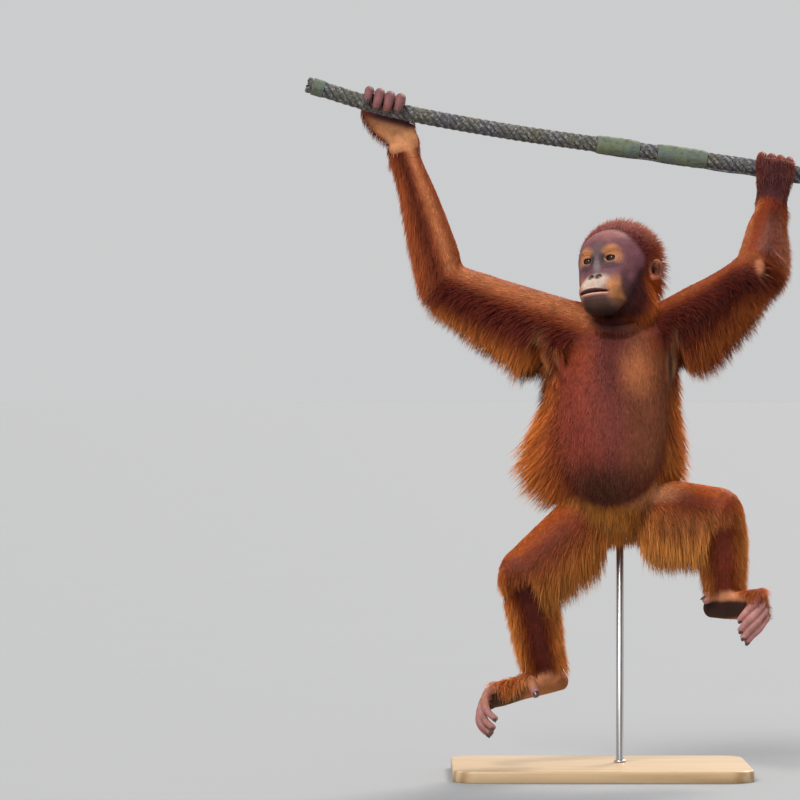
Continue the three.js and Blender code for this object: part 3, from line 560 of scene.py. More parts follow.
hands = {
    "Right": handForms(joints["wristRight"], (-338, -12, 1033), 1.14, back, 1),
    "Left": handForms(joints["wristLeft"], (275, 60, 940), 1.0, front, -1),
}
feet = {
    "Right": footForms(
        heel=(-58, 24, 142), ball=(-170, -36, 124), sole=(0.43, -0.62, -0.66), inner=(0.23, -0.63, 0.74),
        ankle=joints["ankleRight"],
        curl=[(0, 0, 0), (16, 4, 0), (30, 15, 0), (39, 32, 0), (41, 49, 0), (36, 64, 0)],
        bigFrom=0.5, bigBends=[(0, -4, 4), (1, 13, 5), (3, 28, 3)]),
    "Left": footForms(
        heel=(168, -26, 258), ball=(243, -100, 268), sole=(-0.66, -0.62, -0.42), inner=(-0.26, -0.24, 0.93),
        ankle=joints["ankleLeft"],
        curl=[(0, 0, 0), (12, 5, 0), (17, 18, -2), (14, 31, -8), (5, 40, -15), (-4, 46, -23)],
        bigFrom=0.22, bigBends=[(0, 0, 6), (-5, 9, 9), (-10, 18, 9)]),
}


# Skin: every form melts into the next in one field of distances, coarse for the body and fine for the
# head, hands and feet. The number beside a form is the width of its blend.
folds = [
    Limb([((-20, -16, 702), 7, 6), ((6, -40, 692), 8, 6), ((34, -42, 690), 8, 6), ((62, -20, 698), 7, 6)]),
    Limb([((-112, -4, 686), 12, 9), ((-86, -8, 656), 13, 9), ((-63, -12, 606), 9, 8)]),
    Limb([((-92, -22, 684), 8, 7), ((-70, -26, 652), 8, 7), ((-54, -28, 616), 6, 6)]),
    Limb([((130, -10, 686), 12, 9), ((114, -12, 652), 12, 9), ((100, -14, 602), 9, 8)]),
]
skin = {"coarse": 3.0, "headStep": 1.3, "digitStep": 1.4, "overlap": 1.6, "inset": 0.35}
forms = [(limbs["torso"], 20), (limbs["neck"], 18), (limbs["armRight"], 24), (limbs["armLeft"], 24),
         (limbs["legRight"], 20), (limbs["legLeft"], 20)]
for hand in hands.values():
    blends = {"palm": 14, "finger": 1.2, "thumb": 4}
    forms += [(form, blends[kind]) for form, kind in hand["forms"]]
for foot in feet.values():
    blends = {"sole": 8, "instep": 8, "toe": 1.6, "bigToe": 4}
    forms += [(form, blends[kind]) for form, kind in foot["forms"]]
forms += [(fold, soft) for fold, soft in zip(folds, (7, 12, 6, 12))]
meshed = [(form.mesh(), soft) for form, soft in forms]


def boxAround(points, margin):
    return np.array([np.min(points, 0) - margin, np.max(points, 0) + margin])


def boxOf(item):
    return boxAround(np.vstack([form.mesh()[0] for form, kind in item["forms"]]), 3)


headBox = np.array([(-48, -118, 714), (104, 76, 866)], float)
fineBoxes = {"head": (headBox, skin["headStep"])}
for side in ("Right", "Left"):
    fineBoxes["hand" + side] = (boxOf(hands[side]), skin["digitStep"])
    fineBoxes["foot" + side] = (boxOf(feet[side]), skin["digitStep"])


def boxDistance(axes, box):  # from three rows of coordinates
    far = [np.maximum(box[0][i] - a, a - box[1][i]) for i, a in enumerate(axes)]
    return np.maximum(np.maximum(far[0][:, None, None], far[1][None, :, None]), far[2][None, None, :])


def addHead(total, axes, fine):
    keep = [np.flatnonzero((a > headBox[0][i] - 20) & (a < headBox[1][i] + 20)) for i, a in enumerate(axes)]
    cut = tuple(slice(k[0], k[-1] + 1) for k in keep)
    p = np.stack(np.meshgrid(*[a[c] for a, c in zip(axes, cut)], indexing="ij"), -1)
    p = toHead(p).astype(np.float32)
    plain = plainHead(p)
    shape = plain.copy()
    if fine:
        near = np.abs(plain) < 18
        shape[near] = faceOf(p[near])
    lobes = np.full_like(plain, 60)
    near = np.ones(plain.shape, bool)
    for axis, reach in enumerate((22, 30, 30)):
        near &= np.abs(np.abs(p[..., axis]) - abs(ear["middle"][axis])) < reach
    lobes[near] = earsOf(p[near])
    total[cut] = merge(merge(total[cut], shape, 9), lobes, 2.5)


def fieldIn(box, step, withHead):
    corner = np.floor(box[0] / step).astype(int)
    shape = (np.ceil(box[1] / step).astype(int) - corner + 1).tolist()
    total = np.full(shape, 60, np.float32)
    for (points, faces), soft in meshed:
        reach = max(soft, 2 * step)
        low, high = points.min(0) - reach, points.max(0) + reach
        if (low > box[1]).any() or (high < box[0]).any():
            continue
        level = vdb.FloatGrid.createLevelSetFromPolygons(
            points.astype(np.float32), triangles=faces.astype(np.uint32),
            transform=vdb.createLinearTransform(step), halfWidth=float(max(3, reach / step + 1)))
        first = np.maximum(np.floor(low / step).astype(int), corner)
        last = np.minimum(np.ceil(high / step).astype(int), corner + np.array(shape) - 1)
        part = np.full((last - first + 1).tolist(), level.background, np.float32)
        level.copyToArray(part, ijk=tuple(int(i) for i in first))
        cut = tuple(slice(a, b) for a, b in zip(first - corner, last - corner + 1))
        total[cut] = merge(total[cut], part, soft)
    axes = [((corner[i] + np.arange(shape[i])) * step).astype(np.float32) for i in range(3)]
    if withHead:
        addHead(total, axes, step < 2)
    return total + skin["inset"], axes, corner


def surfaceOf(field, corner, step):
    grid = vdb.FloatGrid(60.0)
    grid.copyFromArray(np.ascontiguousarray(field, np.float32), ijk=tuple(int(i) for i in corner))
    grid.transform = vdb.createLinearTransform(step)
    return grid.convertToQuads(0.0)


def skinSurfaces():
    parts = []
    inward = np.array([[1.0], [-1.0]])
    for name, (box, step) in fineBoxes.items():
        field, axes, corner = fieldIn(box, step, name == "head")
        field = np.maximum(field, boxDistance(axes, box + inward * 2 * step))
        parts.append((name, *surfaceOf(field, corner, step)))
    everything = boxAround(np.vstack([points for (points, faces), soft in meshed[:6]]), 6)
    everything = np.array([np.minimum(everything[0], headBox[0]), np.maximum(everything[1], headBox[1])])
    field, axes, corner = fieldIn(everything, skin["coarse"], True)
    for box, step in fineBoxes.values():
        np.maximum(field, -boxDistance(axes, box + inward * (2 * step + skin["overlap"])), out=field)
    parts.append(("body", *surfaceOf(field, corner, skin["coarse"])))
    return parts


def joinSkin():
    pieces = []
    for name, points, quads in skinSurfaces():
        pieces.append(makePiece("skin." + name, points, quads, skinFinish))
    body = pieces.pop()
    for piece in pieces:
        union = body.modifiers.new("union", "BOOLEAN")
        union.operation, union.solver, union.object = "UNION", "MANIFOLD", piece
    bpy.context.view_layer.update()
    joined = bpy.data.meshes.new_from_object(body.evaluated_get(bpy.context.evaluated_depsgraph_get()))
    for piece in [*pieces, body]:
        bpy.data.objects.remove(piece)
    work = bmesh.new()
    work.from_mesh(joined)
    bmesh.ops.triangulate(work, faces=work.faces)
    work.to_mesh(joined)
    work.free()
    points = np.empty(len(joined.vertices) * 3)
    joined.vertices.foreach_get("co", points)
    faces = np.empty(len(joined.polygons) * 3, np.int32)
    joined.polygons.foreach_get("vertices", faces)
    return points.reshape(-1, 3) / mm, faces.reshape(-1, 3)


# Colours of coat and skin, named for where they show; copper is a painted highlight, and the umber and the
# near-black tones are painted shade
tones = {
    "rust": shade(156, 64, 32), "copperHighlight": shade(218, 128, 80), "orange": shade(205, 98, 38),
    "gold": shade(190, 118, 56), "glow": shade(238, 150, 72), "ember": shade(212, 96, 44),
    "maroon": shade(86, 30, 28), "wine": shade(150, 62, 48), "plum": shade(120, 54, 46),
    "brown": shade(130, 72, 48), "umberShade": shade(52, 34, 24), "paintedShadow": shade(44, 20, 20),
    "olive": shade(158, 112, 74), "crown": shade(112, 46, 44), "faceGrey": shade(88, 76, 76),
    "faceDark": shade(60, 50, 50), "facePlum": shade(112, 70, 78), "faceTan": shade(176, 114, 72),
    "forehead": shade(144, 92, 88), "bridge": shade(116, 104, 106), "muzzle": shade(200, 176, 160),
    "muzzleTan": shade(190, 126, 80), "lipPale": shade(216, 164, 142), "lipDark": shade(84, 50, 50),
    "chin": shade(72, 50, 38), "lid": shade(196, 150, 118), "cheek": shade(72, 44, 46),
    "ear": shade(168, 98, 64), "earBowl": shade(74, 38, 28), "palm": shade(208, 142, 94),
    "finger": shade(124, 80, 80), "fist": shade(98, 48, 46), "fistDeep": shade(70, 38, 46),
    "sole": shade(50, 25, 22), "rim": shade(210, 138, 98), "toe": shade(188, 130, 124),
}


def patch(q, centre, radii, soft=0.5):  # 1 inside an oval spot, fading at its edge
    d = np.sqrt((((q - np.array(centre)) / np.array(radii)) ** 2).sum(1))
    return 1 - smooth(d, 1 - soft, 1 + soft)


def band(x, middle, width):
    return np.exp(-((x - middle) / width) ** 2)


def toned(p, name):
    return np.tile(tones[name], (len(p), 1))


# Looks of the coat in each part of the body: its length, colour, lie and density, how bare the skin is,
# how bright its tips are and how golden. A look takes the place on the part (t along it, outward way,
# lengthwise way) and the point.
armpits = [((-86, -42, 650), (17, 40, 40)), ((114, -42, 646), (12, 40, 44))]
# creases: thin lines laid near-black in the folds of the armpits, as painted shade
creases = [((-96, -42, 652), (4, 50, 30)), ((-76, -42, 640), (4, 50, 36)), ((108, -42, 640), (4, 50, 36)),
           ((122, -42, 654), (4, 50, 28))]


def torsoLook(at, p):
    out, t = at["out"], at["t"]
    x, y, z = p.T
    ahead = smooth(-out[:, 1], 0.1, 0.7)
    side = smooth(out[:, 1], -0.55, 0.1)
    bulge = smooth(-out[:, 0], 0.1, 0.9) * band(t, 0.54, 0.14)
    colour = toned(p, "plum")
    colour = lay(colour, tones["wine"], 0.8 * smooth(-x, -24, 40) * smooth(z, 450, 510))
    colour = lay(colour, tones["brown"], 0.85 * smooth(x, 10, 70) * smooth(z, 430, 480))
    colour = lay(colour, tones["rust"], 0.6 * band(x, -36, 26) * smooth(z, 600, 650))
    colour = lay(colour, tones["maroon"], 0.75 * band(x, 12, 22) * smooth(z, 560, 640))
    # painted shade: dark umber under the belly's lower edge, darker towards the bottom
    colour = lay(colour, tones["umberShade"], 0.85 * patch(p, (4, -70, 442), (50, 90, 34), 0.85))
    # painted highlight: a lighter copper patch high on the chest, where the light falls
    colour = lay(colour, tones["copperHighlight"], 0.6 * patch(p, (56, -60, 628), (22, 60, 30), 0.95))
    colour = lay(colour, tones["rust"], 0.7 * smooth(z, 640, 680) * smooth(np.abs(x - 20), 35, 70))
    belly = np.hypot((x - 12) / 86, np.minimum(z - 520, 0) / 100)
    below = smooth(belly, 0.97, 1.06) * (z < 520)
    groin = lay(toned(p, "gold"), tones["rim"], 0.7 * patch(p, (72, -50, 440), (40, 60, 24)))
    # painted shade: a thin dark line in the fold of the groin
    groin = lay(groin, tones["umberShade"], 0.5 * patch(p, (-28, -45, 425), (6, 40, 24)))
    colour = lay(colour, groin, below)
    colour = lay(colour, tones["orange"], side * 0.9)
    colour = lay(colour, tones["rust"], 0.85 * smooth(out[:, 1], 0.3, 0.9))
    bare = np.zeros(len(p))
    for centre, radii in armpits:
        near = patch(p, centre, radii)
        colour = lay(colour, tones["olive"], 0.85 * near)
        bare = np.maximum(bare, near)
    # painted shade: near-black lines in the folds of the armpits
    for centre, radii in creases:
        colour = lay(colour, tones["paintedShadow"], 0.9 * patch(p, centre, radii))
    full = 24 + 24 * smooth(t, 0.2, 0.5) + 26 * bulge
    length = 9 + side * full * (1 - 0.6 * smooth(t, 0.66, 0.86)) + 12 * smooth(-z, -425, -400) * ahead
    return {"length": length * (1 - 0.7 * bare), "colour": colour,
            "lie": mixed((out, 0.07 + side * (0.4 + 0.2 * t) + 0.4 * bulge), (down, 0.85)),
            "density": (0.95 + 0.3 * side) * (1 - 0.75 * bare), "bare": np.maximum(0.7 * (1 - side), bare),
            "tip": 0.2 + 0.55 * side, "gild": 0.3 + 0.5 * side}


def neckLook(at, p):
    out = at["out"]
    side = smooth(out[:, 1], -0.6, 0.2)
    colour = lay(toned(p, "maroon"), tones["orange"], 0.9 * smooth(out[:, 0], 0.0, 0.6))
    colour = lay(colour, tones["rust"], 0.8 * smooth(out[:, 1], 0.2, 0.9))
    fold = (1 - side) * smooth(p[:, 2], 684, 690) * (1 - smooth(p[:, 2], 700, 706))
    colour = lay(colour, tones["faceGrey"], 0.7 * fold)
    return {"length": 7 + 24 * side, "colour": colour, "lie": mixed((out, 0.2 + 0.4 * side), (down, 0.7)),
            "density": (0.9 + 0.3 * side) * (1 - 0.6 * fold), "bare": 0.5 * (1 - side),
            "tip": 0.5 * side, "gild": 0.4}


def under(out):
    return smooth(-out[:, 2], -0.3, 0.85)


def armLook(at, p, right):
    out, t, way = at["out"], at["t"], at["along"]
    lower = smooth(t, 0.47, 0.56)
    beneath = under(out)
    ahead = smooth(-out[:, 1], -0.1, 0.6)
    outside = out[:, 0] * (-1 if right else 1)
    reach = smooth(outside - 0.5 * out[:, 2], -0.2, 0.9)
    shorter = 0.5 if right else 0.62
    upperLength = 10 + 52 * beneath * (1 - shorter * smooth(t, 0.22, 0.5)) * smooth(t, 0.06, 0.2)
    lowerLength = 9 + (12 + 15 * (1 - smooth(t, 0.5, 0.85))) * reach
    upperLie = mixed((out, 0.13 + 0.22 * beneath), (down, 0.2 + 0.55 * beneath), (way, 0.75 - 0.45 * beneath))
    lowerLie = mixed((out, (0.14 if right else 0.3) + 0.28 * reach), (down, 0.4), (way, -0.75 + 0.25 * reach))
    colour = toned(p, "rust")
    elbow = band(t, 0.47, 0.06)
    if right:
        # painted highlight: a lighter copper band along the top of the upper arm
        colour = lay(colour, tones["copperHighlight"], 0.95 * (1 - lower) * band(out[:, 2], 0.6, 0.34) * ahead)
        # painted shade: dark maroon over the lower front of the upper arm
        colour = lay(colour, tones["maroon"], 0.95 * (1 - lower) * ahead * smooth(-out[:, 2], -0.25, 0.2))
        colour = lay(colour, tones["maroon"], 0.85 * elbow * smooth(-out[:, 0], -0.4, 0.3) * ahead)
        colour = lay(colour, tones["wine"], 0.8 * lower * smooth(outside, -0.1, 0.5))
        # a lighter strip down the front of the forearm: painted highlight along the arm, and bare
        # palm-coloured skin near the wrist
        strip = band(out[:, 0], 0.35, 0.34) * ahead
        colour = lay(colour, tones["copperHighlight"], 0.9 * lower * strip)
        colour = lay(colour, tones["maroon"], 0.7 * lower * band(out[:, 0], -0.35, 0.25) * ahead)
        colour = lay(colour, tones["palm"], 0.8 * smooth(t, 0.8, 0.98) * strip)
        bare = 0.8 * smooth(t, 0.72, 0.97) * strip
    else:
        # painted highlight: a lighter copper band along the top of the upper arm
        colour = lay(colour, tones["copperHighlight"], 0.7 * (1 - lower) * band(out[:, 2], 0.75, 0.3) * ahead)
        # painted shade: maroon, then near-black, over the underside of the upper arm
        colour = lay(colour, tones["maroon"], 0.9 * (1 - lower) * smooth(-out[:, 2], -0.5, 0.0) * ahead)
        colour = lay(colour, tones["paintedShadow"], 0.85 * (1 - lower) * smooth(-out[:, 2], -0.15, 0.5) * ahead)
        colour = lay(colour, tones["maroon"], 0.8 * lower * smooth(out[:, 0], -0.2, 0.5) * ahead)
        # painted highlight: copper along the forearm's edge towards the body
        colour = lay(colour, tones["copperHighlight"], 0.5 * lower * smooth(-out[:, 0], 0.3, 0.8))
        bare = patch(p, (236, -138, 784), (8, 26, 14))
        colour = lay(colour, tones["rim"], 0.6 * bare)
    for centre, radii in armpits:
        near = patch(p, centre, radii)
        colour = lay(colour, tones["olive"], 0.8 * near)
        bare = np.maximum(bare, near)
    # painted shade: near-black lines in the folds of the armpits
    for centre, radii in creases:
        colour = lay(colour, tones["paintedShadow"], 0.8 * patch(p, centre, radii))
    # the hanging fringe under the upper arm lighter: its own colour, brightened to orange on the right arm as
    # painted glow of light through it
    edge = (1 - lower) * smooth(-out[:, 2], 0.45, 0.95)
    colour = lay(colour, tones["orange" if right else "rust"], 0.85 * edge)
    fringe = np.maximum(beneath * (1 - lower), reach * lower)
    return {"length": (upperLength * (1 - lower) + lowerLength * lower) * (1 - 0.7 * bare), "colour": colour,
            "lie": unit(upperLie * column(1 - lower) + lowerLie * column(lower)),
            "density": (0.85 + 0.45 * fringe) * (1 - 0.8 * bare), "bare": bare,
            "tip": 0.1 + 0.8 * np.maximum(edge, reach * lower),
            "gild": (0.6 if right else 0.3) * beneath * (1 - lower) + 0.2 * lower}


def legLook(at, p, right):
    out, t, way = at["out"], at["t"], at["along"]
    lower = smooth(t, 0.47, 0.56)
    beneath = under(out)
    ahead = smooth(-out[:, 1], -0.1, 0.6)
    edge = smooth(np.abs(out[:, 0]), 0.2, 0.9)
    knee = band(t, 0.5, 0.08)
    upperLength = 8 + 60 * beneath * (0.6 + 0.4 * smooth(-out[:, 1], -1, 0.2)) * smooth(t, 0.05, 0.16)
    lowerLength = 8 + (22 if right else 17) * edge
    upperLie = mixed((out, 0.1 + 0.28 * beneath), (down, 0.25 + 0.5 * beneath), (way, 0.6 - 0.35 * beneath))
    lowerLie = mixed((out, 0.13 + 0.26 * edge), (way, 0.75), (down, 0.2))
    colour = lay(toned(p, "rust"), tones["gold"], 0.75 * beneath * (1 - lower))
    colour = lay(colour, tones["orange"], 0.6 * (1 - lower) * smooth(out[:, 2], 0.3, 0.8))
    if right:
        middle = band(out[:, 2], 0.15, 0.4) * ahead * smooth(t, 0.12, 0.3) * (1 - lower)
        colour = lay(colour, tones["wine"], 0.85 * middle)
        colour = lay(colour, tones["brown"], 0.4 * middle)
    else:
        # painted highlight: a pale patch high on the front of the left thigh
        colour = lay(colour, tones["rim"], 0.8 * patch(p, (88, -44, 438), (40, 60, 13), 0.7))
        colour = lay(colour, tones["maroon"], 0.6 * patch(p, (132, -90, 424), (26, 60, 20), 0.8))
        # painted shade: brown on the lower side of the left thigh, below that highlight
        inside = band(out[:, 2], -0.35, 0.25) * ahead * (1 - lower) * smooth(t, 0.1, 0.25)
        colour = lay(colour, tones["brown"], 0.7 * inside)
    colour = lay(colour, tones["gold"], 0.8 * (1 - smooth(t, 0.02, 0.14)))
    stripe = lower * (1 - smooth(np.abs(out[:, 0] + (0 if right else 0.1)), 0.3, 0.8)) * ahead
    colour = lay(colour, tones["maroon" if right else "wine"], (0.85 if right else 0.7) * stripe)
    colour = lay(colour, tones["orange"], 0.7 * lower * smooth(np.abs(out[:, 0]), 0.6, 0.95))
    colour = lay(colour, tones["rim"], 0.6 * smooth(t, 0.93, 1.0) * ahead)
    lie = unit(upperLie * column(1 - lower) + lowerLie * column(lower))
    fringe = np.maximum(beneath * (1 - lower), edge * lower)
    length = (upperLength * (1 - lower) + lowerLength * lower) * (1 - 0.35 * knee)
    return {"length": length, "colour": colour, "lie": lie,
            "density": 0.85 + 0.45 * fringe, "bare": 0,
            "tip": 0.15 + 0.7 * fringe, "gild": 0.4 + 0.6 * fringe}


hairline = {"z": [-74, -60, -45, -35, -25, -12, 0, 20, 45, 60], "y": [28, 33, 33, 26, 16, 8, 5, 16, 22, 26]}


def headLook(p):
    q = toHead(p)
    x, y, z = q.T
    side = np.abs(x)
    inwards = np.interp(z, hairline["z"], hairline["y"]) - y
    hair = smooth(inwards, -9, 9)
    deep = smooth(inwards, 0, 34)
    out = unit(q - np.array([0, 6, -14]))
    top = smooth(out[:, 2], -0.2, 0.8)
    raised = column(0.12 + 0.3 * deep + 0.45 * top)
    lie = unit(out * raised + np.array([0, -1, 0]) * 0.5 - column(0.65 * (1 - top)) * up)
    m = np.stack([side, y, z], 1)
    colour = toned(p, "facePlum")
    colour = lay(colour, tones["forehead"], 0.9 * smooth(z, 20, 40) * (1 - smooth(side, 30, 48)))
    colour = lay(colour, tones["faceGrey"], 0.8 * patch(m, (0, 52, 8), (10, 40, 20), 0.8))
    colour = lay(colour, tones["cheek"], 0.9 * smooth(-z, 32, 56) * smooth(side, 26, 36) * smooth(y, -24, 20))
    colour = lay(colour, tones["faceTan"], patch(m, (21, 44, 10), (12.5, 30, 10), 0.45))
    colour = lay(colour, tones["faceTan"], 0.7 * patch(m, (31, 40, -2), (7, 30, 9)))
    colour = lay(colour, tones["faceDark"], 0.85 * patch(m, (9, 50, -4), (5, 30, 9)))
    colour = lay(colour, tones["faceDark"], 0.7 * patch(m, (20, 44, -15), (14, 30, 5)))
    colour = lay(colour, tones["bridge"], 0.85 * patch(m, (0, 60, -18), (5.5, 30, 16)))
    colour = lay(colour, tones["muzzle"], patch(m, (0, 66, -43), (24, 34, 16), 0.35))
    colour = lay(colour, tones["muzzleTan"], 0.9 * patch(m, (28, 50, -54), (10, 34, 22), 0.5))
    # painted shade: a narrow dark strip where the muzzle meets the cheek
    colour = lay(colour, tones["cheek"], 0.9 * patch(m, (39, 36, -50), (5, 30, 26), 0.5))
    colour = lay(colour, tones["faceGrey"], 0.5 * patch(m, (0, 64, -27), (11, 20, 6)))
    colour = lay(colour, tones["chin"], smooth(-z, 64, 70) * (1 - 0.4 * smooth(side, 14, 26)))
    # painted shadow: the underside of the chin and jaw near-black
    colour = lay(colour, tones["paintedShadow"], 0.8 * smooth(-z, 76, 88))
    rise = 1 - (x / mouth["halfWidth"]) ** 2
    ahead = smooth(y, 40, 48) * (1 - smooth(side, mouth["halfWidth"] - 3, mouth["halfWidth"] + 1))
    colour = lay(colour, tones["lipPale"], ahead * smooth(-z, 57.5, 59) * (1 - smooth(-z, 62, 64.5)))
    # painted shadow: a dark peaked band above the mouth line, under the upper lip
    inner = ahead * smooth(z, -59.5, -58) * (1 - smooth(z, -57.5 + 4.5 * rise, -56 + 4.5 * rise))
    colour = lay(colour, tones["lipDark"], inner)
    eyeFar = np.hypot(side - eye["x"], (z - eye["z"]) * 1.6)
    ring = smooth(eyeFar, 6.8, 7.8) * (1 - smooth(eyeFar, 8.4, 9.8)) * smooth(y, 44, 49)
    colour = lay(colour, tones["lid"], ring * (0.35 + 0.5 * smooth(-z, -2, 4)))
    # painted shade: the nostril holes darkened to near-black inside
    hole = patch(m, (face["nostril"][0], 68, face["nostril"][2]), (4.9, 12, 3.7), 0.3)
    colour = lay(colour, tones["paintedShadow"] * 0.3, smooth(y, 61, 65) * hole)
    spot = m - np.array(ear["middle"])
    onEar = smooth(side, 52, 56) * (1 - smooth(np.hypot(spot[:, 1] / 15, spot[:, 2] / 20), 0.95, 1.15))
    nearEar = 1 - smooth(np.linalg.norm(spot, axis=1), 22, 36)
    hairColour = lay(toned(p, "crown"), tones["rust"], 0.7 * smooth(-y, -12, 26))
    hairColour = lay(hairColour, tones["cheek"], smooth(-z, 5, 30) * (1 - deep))
    hairColour = lay(hairColour, tones["orange"], 0.9 * smooth(-z, 5, 40) * smooth(-y, -14, 4))
    colour = lay(colour, hairColour, hair)
    colour = lay(colour, tones["ear"], onEar)
    # painted shade: darker inside the ear's bowl
    colour = lay(colour, tones["earBowl"], 0.9 * onEar * patch(spot, (2, 2, 0), (14, 11, 12), 0.35))
    length = 3 + hair * (5 + 12 * deep + 20 * deep * (1 - top)) * (1 - 0.6 * nearEar) + 4 * hair * top
    return {"length": length, "colour": colour, "lie": unit(lie @ headAxes.T),
            "density": hair * 1.25 * (1 - onEar) + 0.02, "bare": 1 - hair * (1 - onEar),
            "tip": 0.08 + 0.25 * deep, "gild": 0}


def handLook(p, side):
    hand = hands[side]
    rise = (p - hand["centre"]) @ hand["upward"]
    behind = (p - hand["centre"]) @ hand["back"]
    onBack = smooth(behind, 14, 26) if side == "Right" else smooth(behind, 2, 16)
    onFingers = smooth(rise, -14, 4)
    furry = onBack * (1 - onFingers) if side == "Right" else onBack * (1 - 0.4 * smooth(rise, 14, 28))
    palmSide = smooth(-behind, -26, -12) * (1 - onFingers)
    if side == "Right":
        colour = lay(toned(p, "rust"), tones["finger"], onFingers)
        colour = lay(colour, tones["palm"], palmSide * (1 - smooth(rise, -24, -12)))
        # painted shadow: the palm darker in a band just below the rope
        colour = lay(colour, tones["fistDeep"], palmSide * band(rise, -14, 7))
    else:
        middle = band((p - hand["centre"]) @ hand["way"], 0, 20)
        colour = lay(toned(p, "fist"), tones["fistDeep"], 0.8 * middle * (1 - smooth(rise, 8, 20)))
        colour = lay(colour, tones["rust"], 0.6 * smooth(rise, 12, 24))
    lie = column(0.3 * onBack) * hand["back"] - hand["upward"] * 0.3 + down * 0.5
    return {"length": 4 + 10 * furry, "colour": colour, "lie": unit(lie), "density": 1.2 * furry,
            "bare": 1 - 0.9 * furry, "tip": 0.2, "gild": 0}


def footLook(p, side):
    foot = feet[side]
    middle = (foot["heel"] + foot["ball"]) / 2
    beneath = (p - middle) @ foot["sole"]
    forward = (p - foot["ball"]) @ foot["long"]
    onTop = 1 - smooth(beneath, -12, 4)
    digits = np.maximum(smooth(forward, 2, 14), smooth(beneath, 14, 20))
    edge = smooth((p - middle) @ foot["inner"], 11, 19) * smooth(beneath, -8, 0) * (1 - digits)
    colour = lay(toned(p, "orange"), tones["rust"], np.full(len(p), 0.8))
    # painted shade: the right foot's rim and toe colours darker than the left foot's
    lit = 0.7 if side == "Right" else 0.9
    colour = lay(colour, tones["rim"] * lit, 0.85 * band(beneath, 0, 4) * (1 - digits))
    hollow = smooth(forward, -64, -40) if side == "Right" else 1
    colour = lay(colour, tones["muzzleTan"] * 0.6, smooth(beneath, 3, 8) * (1 - digits))
    colour = lay(colour, tones["sole"], smooth(beneath, 3, 8) * (1 - digits) * hollow)
    colour = lay(colour, tones["rim"] * lit, 0.85 * edge)
    colour = lay(colour, tones["toe"] * lit, smooth(beneath, -8, 6) * digits)
    return {"length": 4 + 5 * onTop * (1 - digits), "colour": colour,
            "lie": unit(np.tile(foot["long"] * 0.7 - foot["sole"] * 0.1 + down * 0.3, (len(p), 1))),
            "density": 1.1 * onTop * (1 - 0.8 * digits), "bare": 1 - onTop * (1 - 0.6 * digits),
            "tip": 0.3, "gild": 0.2}


zones = ["torso", "neck", "armRight", "armLeft", "legRight", "legLeft", "head", "handRight", "handLeft",
         "footRight", "footLeft"]
lookOf = {"torso": torsoLook, "neck": neckLook}
endings = (("hand", "arm", "wrist", "elbow"), ("foot", "leg", "ankle", "knee"))


def placeOn(points):  # for each point: its zone, how far on it, and the coat's look there, mixed near joins
    n = len(points)
    spots = {name: limb.near(points) for name, limb in limbs.items()}
    far = np.full((n, len(zones)), 80.0)
    for i, name in enumerate(zones[:6]):
        far[:, i] = spots[name]["far"]
    far[:, 6] = plainHead(toHead(points)) - 1.5
    inHead = toHead(points)
    ears = (np.abs(np.abs(inHead) - np.abs(ear["middle"])) < (14, 20, 24)).all(1)
    far[ears, 6] = -10
    for side in ("Right", "Left"):
        for kind, limbName, tip, before in endings:
            i, j = zones.index(kind + side), zones.index(limbName + side)
            way = unit(joints[tip + side] - joints[before + side])
            past = (points - joints[tip + side]) @ way
            close = np.linalg.norm(points - joints[tip + side], axis=1) < 190
            shift = smooth(past, -10, 8)
            beyond = close & (past > -10)
            far[beyond, i] = np.minimum(far[beyond, j], 0) - 14 * shift[beyond]
            far[beyond & (past > 8), j] = 60
    share = np.exp(-(far - far.min(1, keepdims=True)) / 5)
    share[share < 0.03] = 0
    share /= share.sum(1, keepdims=True)
    found = {name: np.zeros(n) for name in ("length", "density", "bare", "tip", "gild")}
    found |= {name: np.zeros((n, 3)) for name in ("colour", "lie")}
    for i, name in enumerate(zones):
        used = share[:, i] > 0
        if not used.any():
            continue
        p = points[used]
        if name in lookOf:
            look = lookOf[name]({k: v[used] for k, v in spots[name].items()}, p)
        elif name.startswith("arm"):
            look = armLook({k: v[used] for k, v in spots[name].items()}, p, name.endswith("Right"))
        elif name.startswith("leg"):
            look = legLook({k: v[used] for k, v in spots[name].items()}, p, name.endswith("Right"))
        elif name == "head":
            look = headLook(p)
        elif name.startswith("hand"):
            look = handLook(p, name[4:])
        else:
            look = footLook(p, name[4:])
        for key, value in look.items():
            value = np.broadcast_to(value, (len(p), *np.shape(value)[1:]))
            found[key][used] += value * (column(share[used, i]) if value.ndim == 2 else share[used, i])
    found["lie"] = unit(found["lie"])
    zone = share.argmax(1)
    found["zone"] = zone
    found["t"] = np.choose(np.minimum(zone, 5), [spots[name]["t"] for name in zones[:6]])
    found["turn"] = np.choose(np.minimum(zone, 5), [spots[name]["turn"] for name in zones[:6]])
    q = inHead[zone == 6]
    found["turn"][zone == 6] = turnShare(q[:, 0], -q[:, 1])
    found["t"][zone == 6] = np.arccos(np.clip(unit(q)[:, 2], -1, 1)) / math.pi
    for side in ("Right", "Left"):
        hand, foot = hands[side], feet[side]
        on = zone == zones.index("hand" + side)
        v = points[on] - hand["centre"]
        found["turn"][on] = turnShare(v @ hand["back"], v @ hand["way"])
        found["t"][on] = np.clip((v @ hand["upward"] + 90) / 130, 0, 1)
        on = zone == zones.index("foot" + side)
        v = points[on] - (foot["heel"] + foot["ball"]) / 2
        found["turn"][on] = turnShare(v @ foot["sole"], v @ foot["inner"])
        found["t"][on] = np.clip((v @ foot["long"] + 90) / 200, 0, 1)
    return found


def inParts(points, size=60000):
    done = [placeOn(points[i:i + size]) for i in range(0, len(points), size)]
    return {key: np.concatenate([d[key] for d in done]) for key in done[0]}


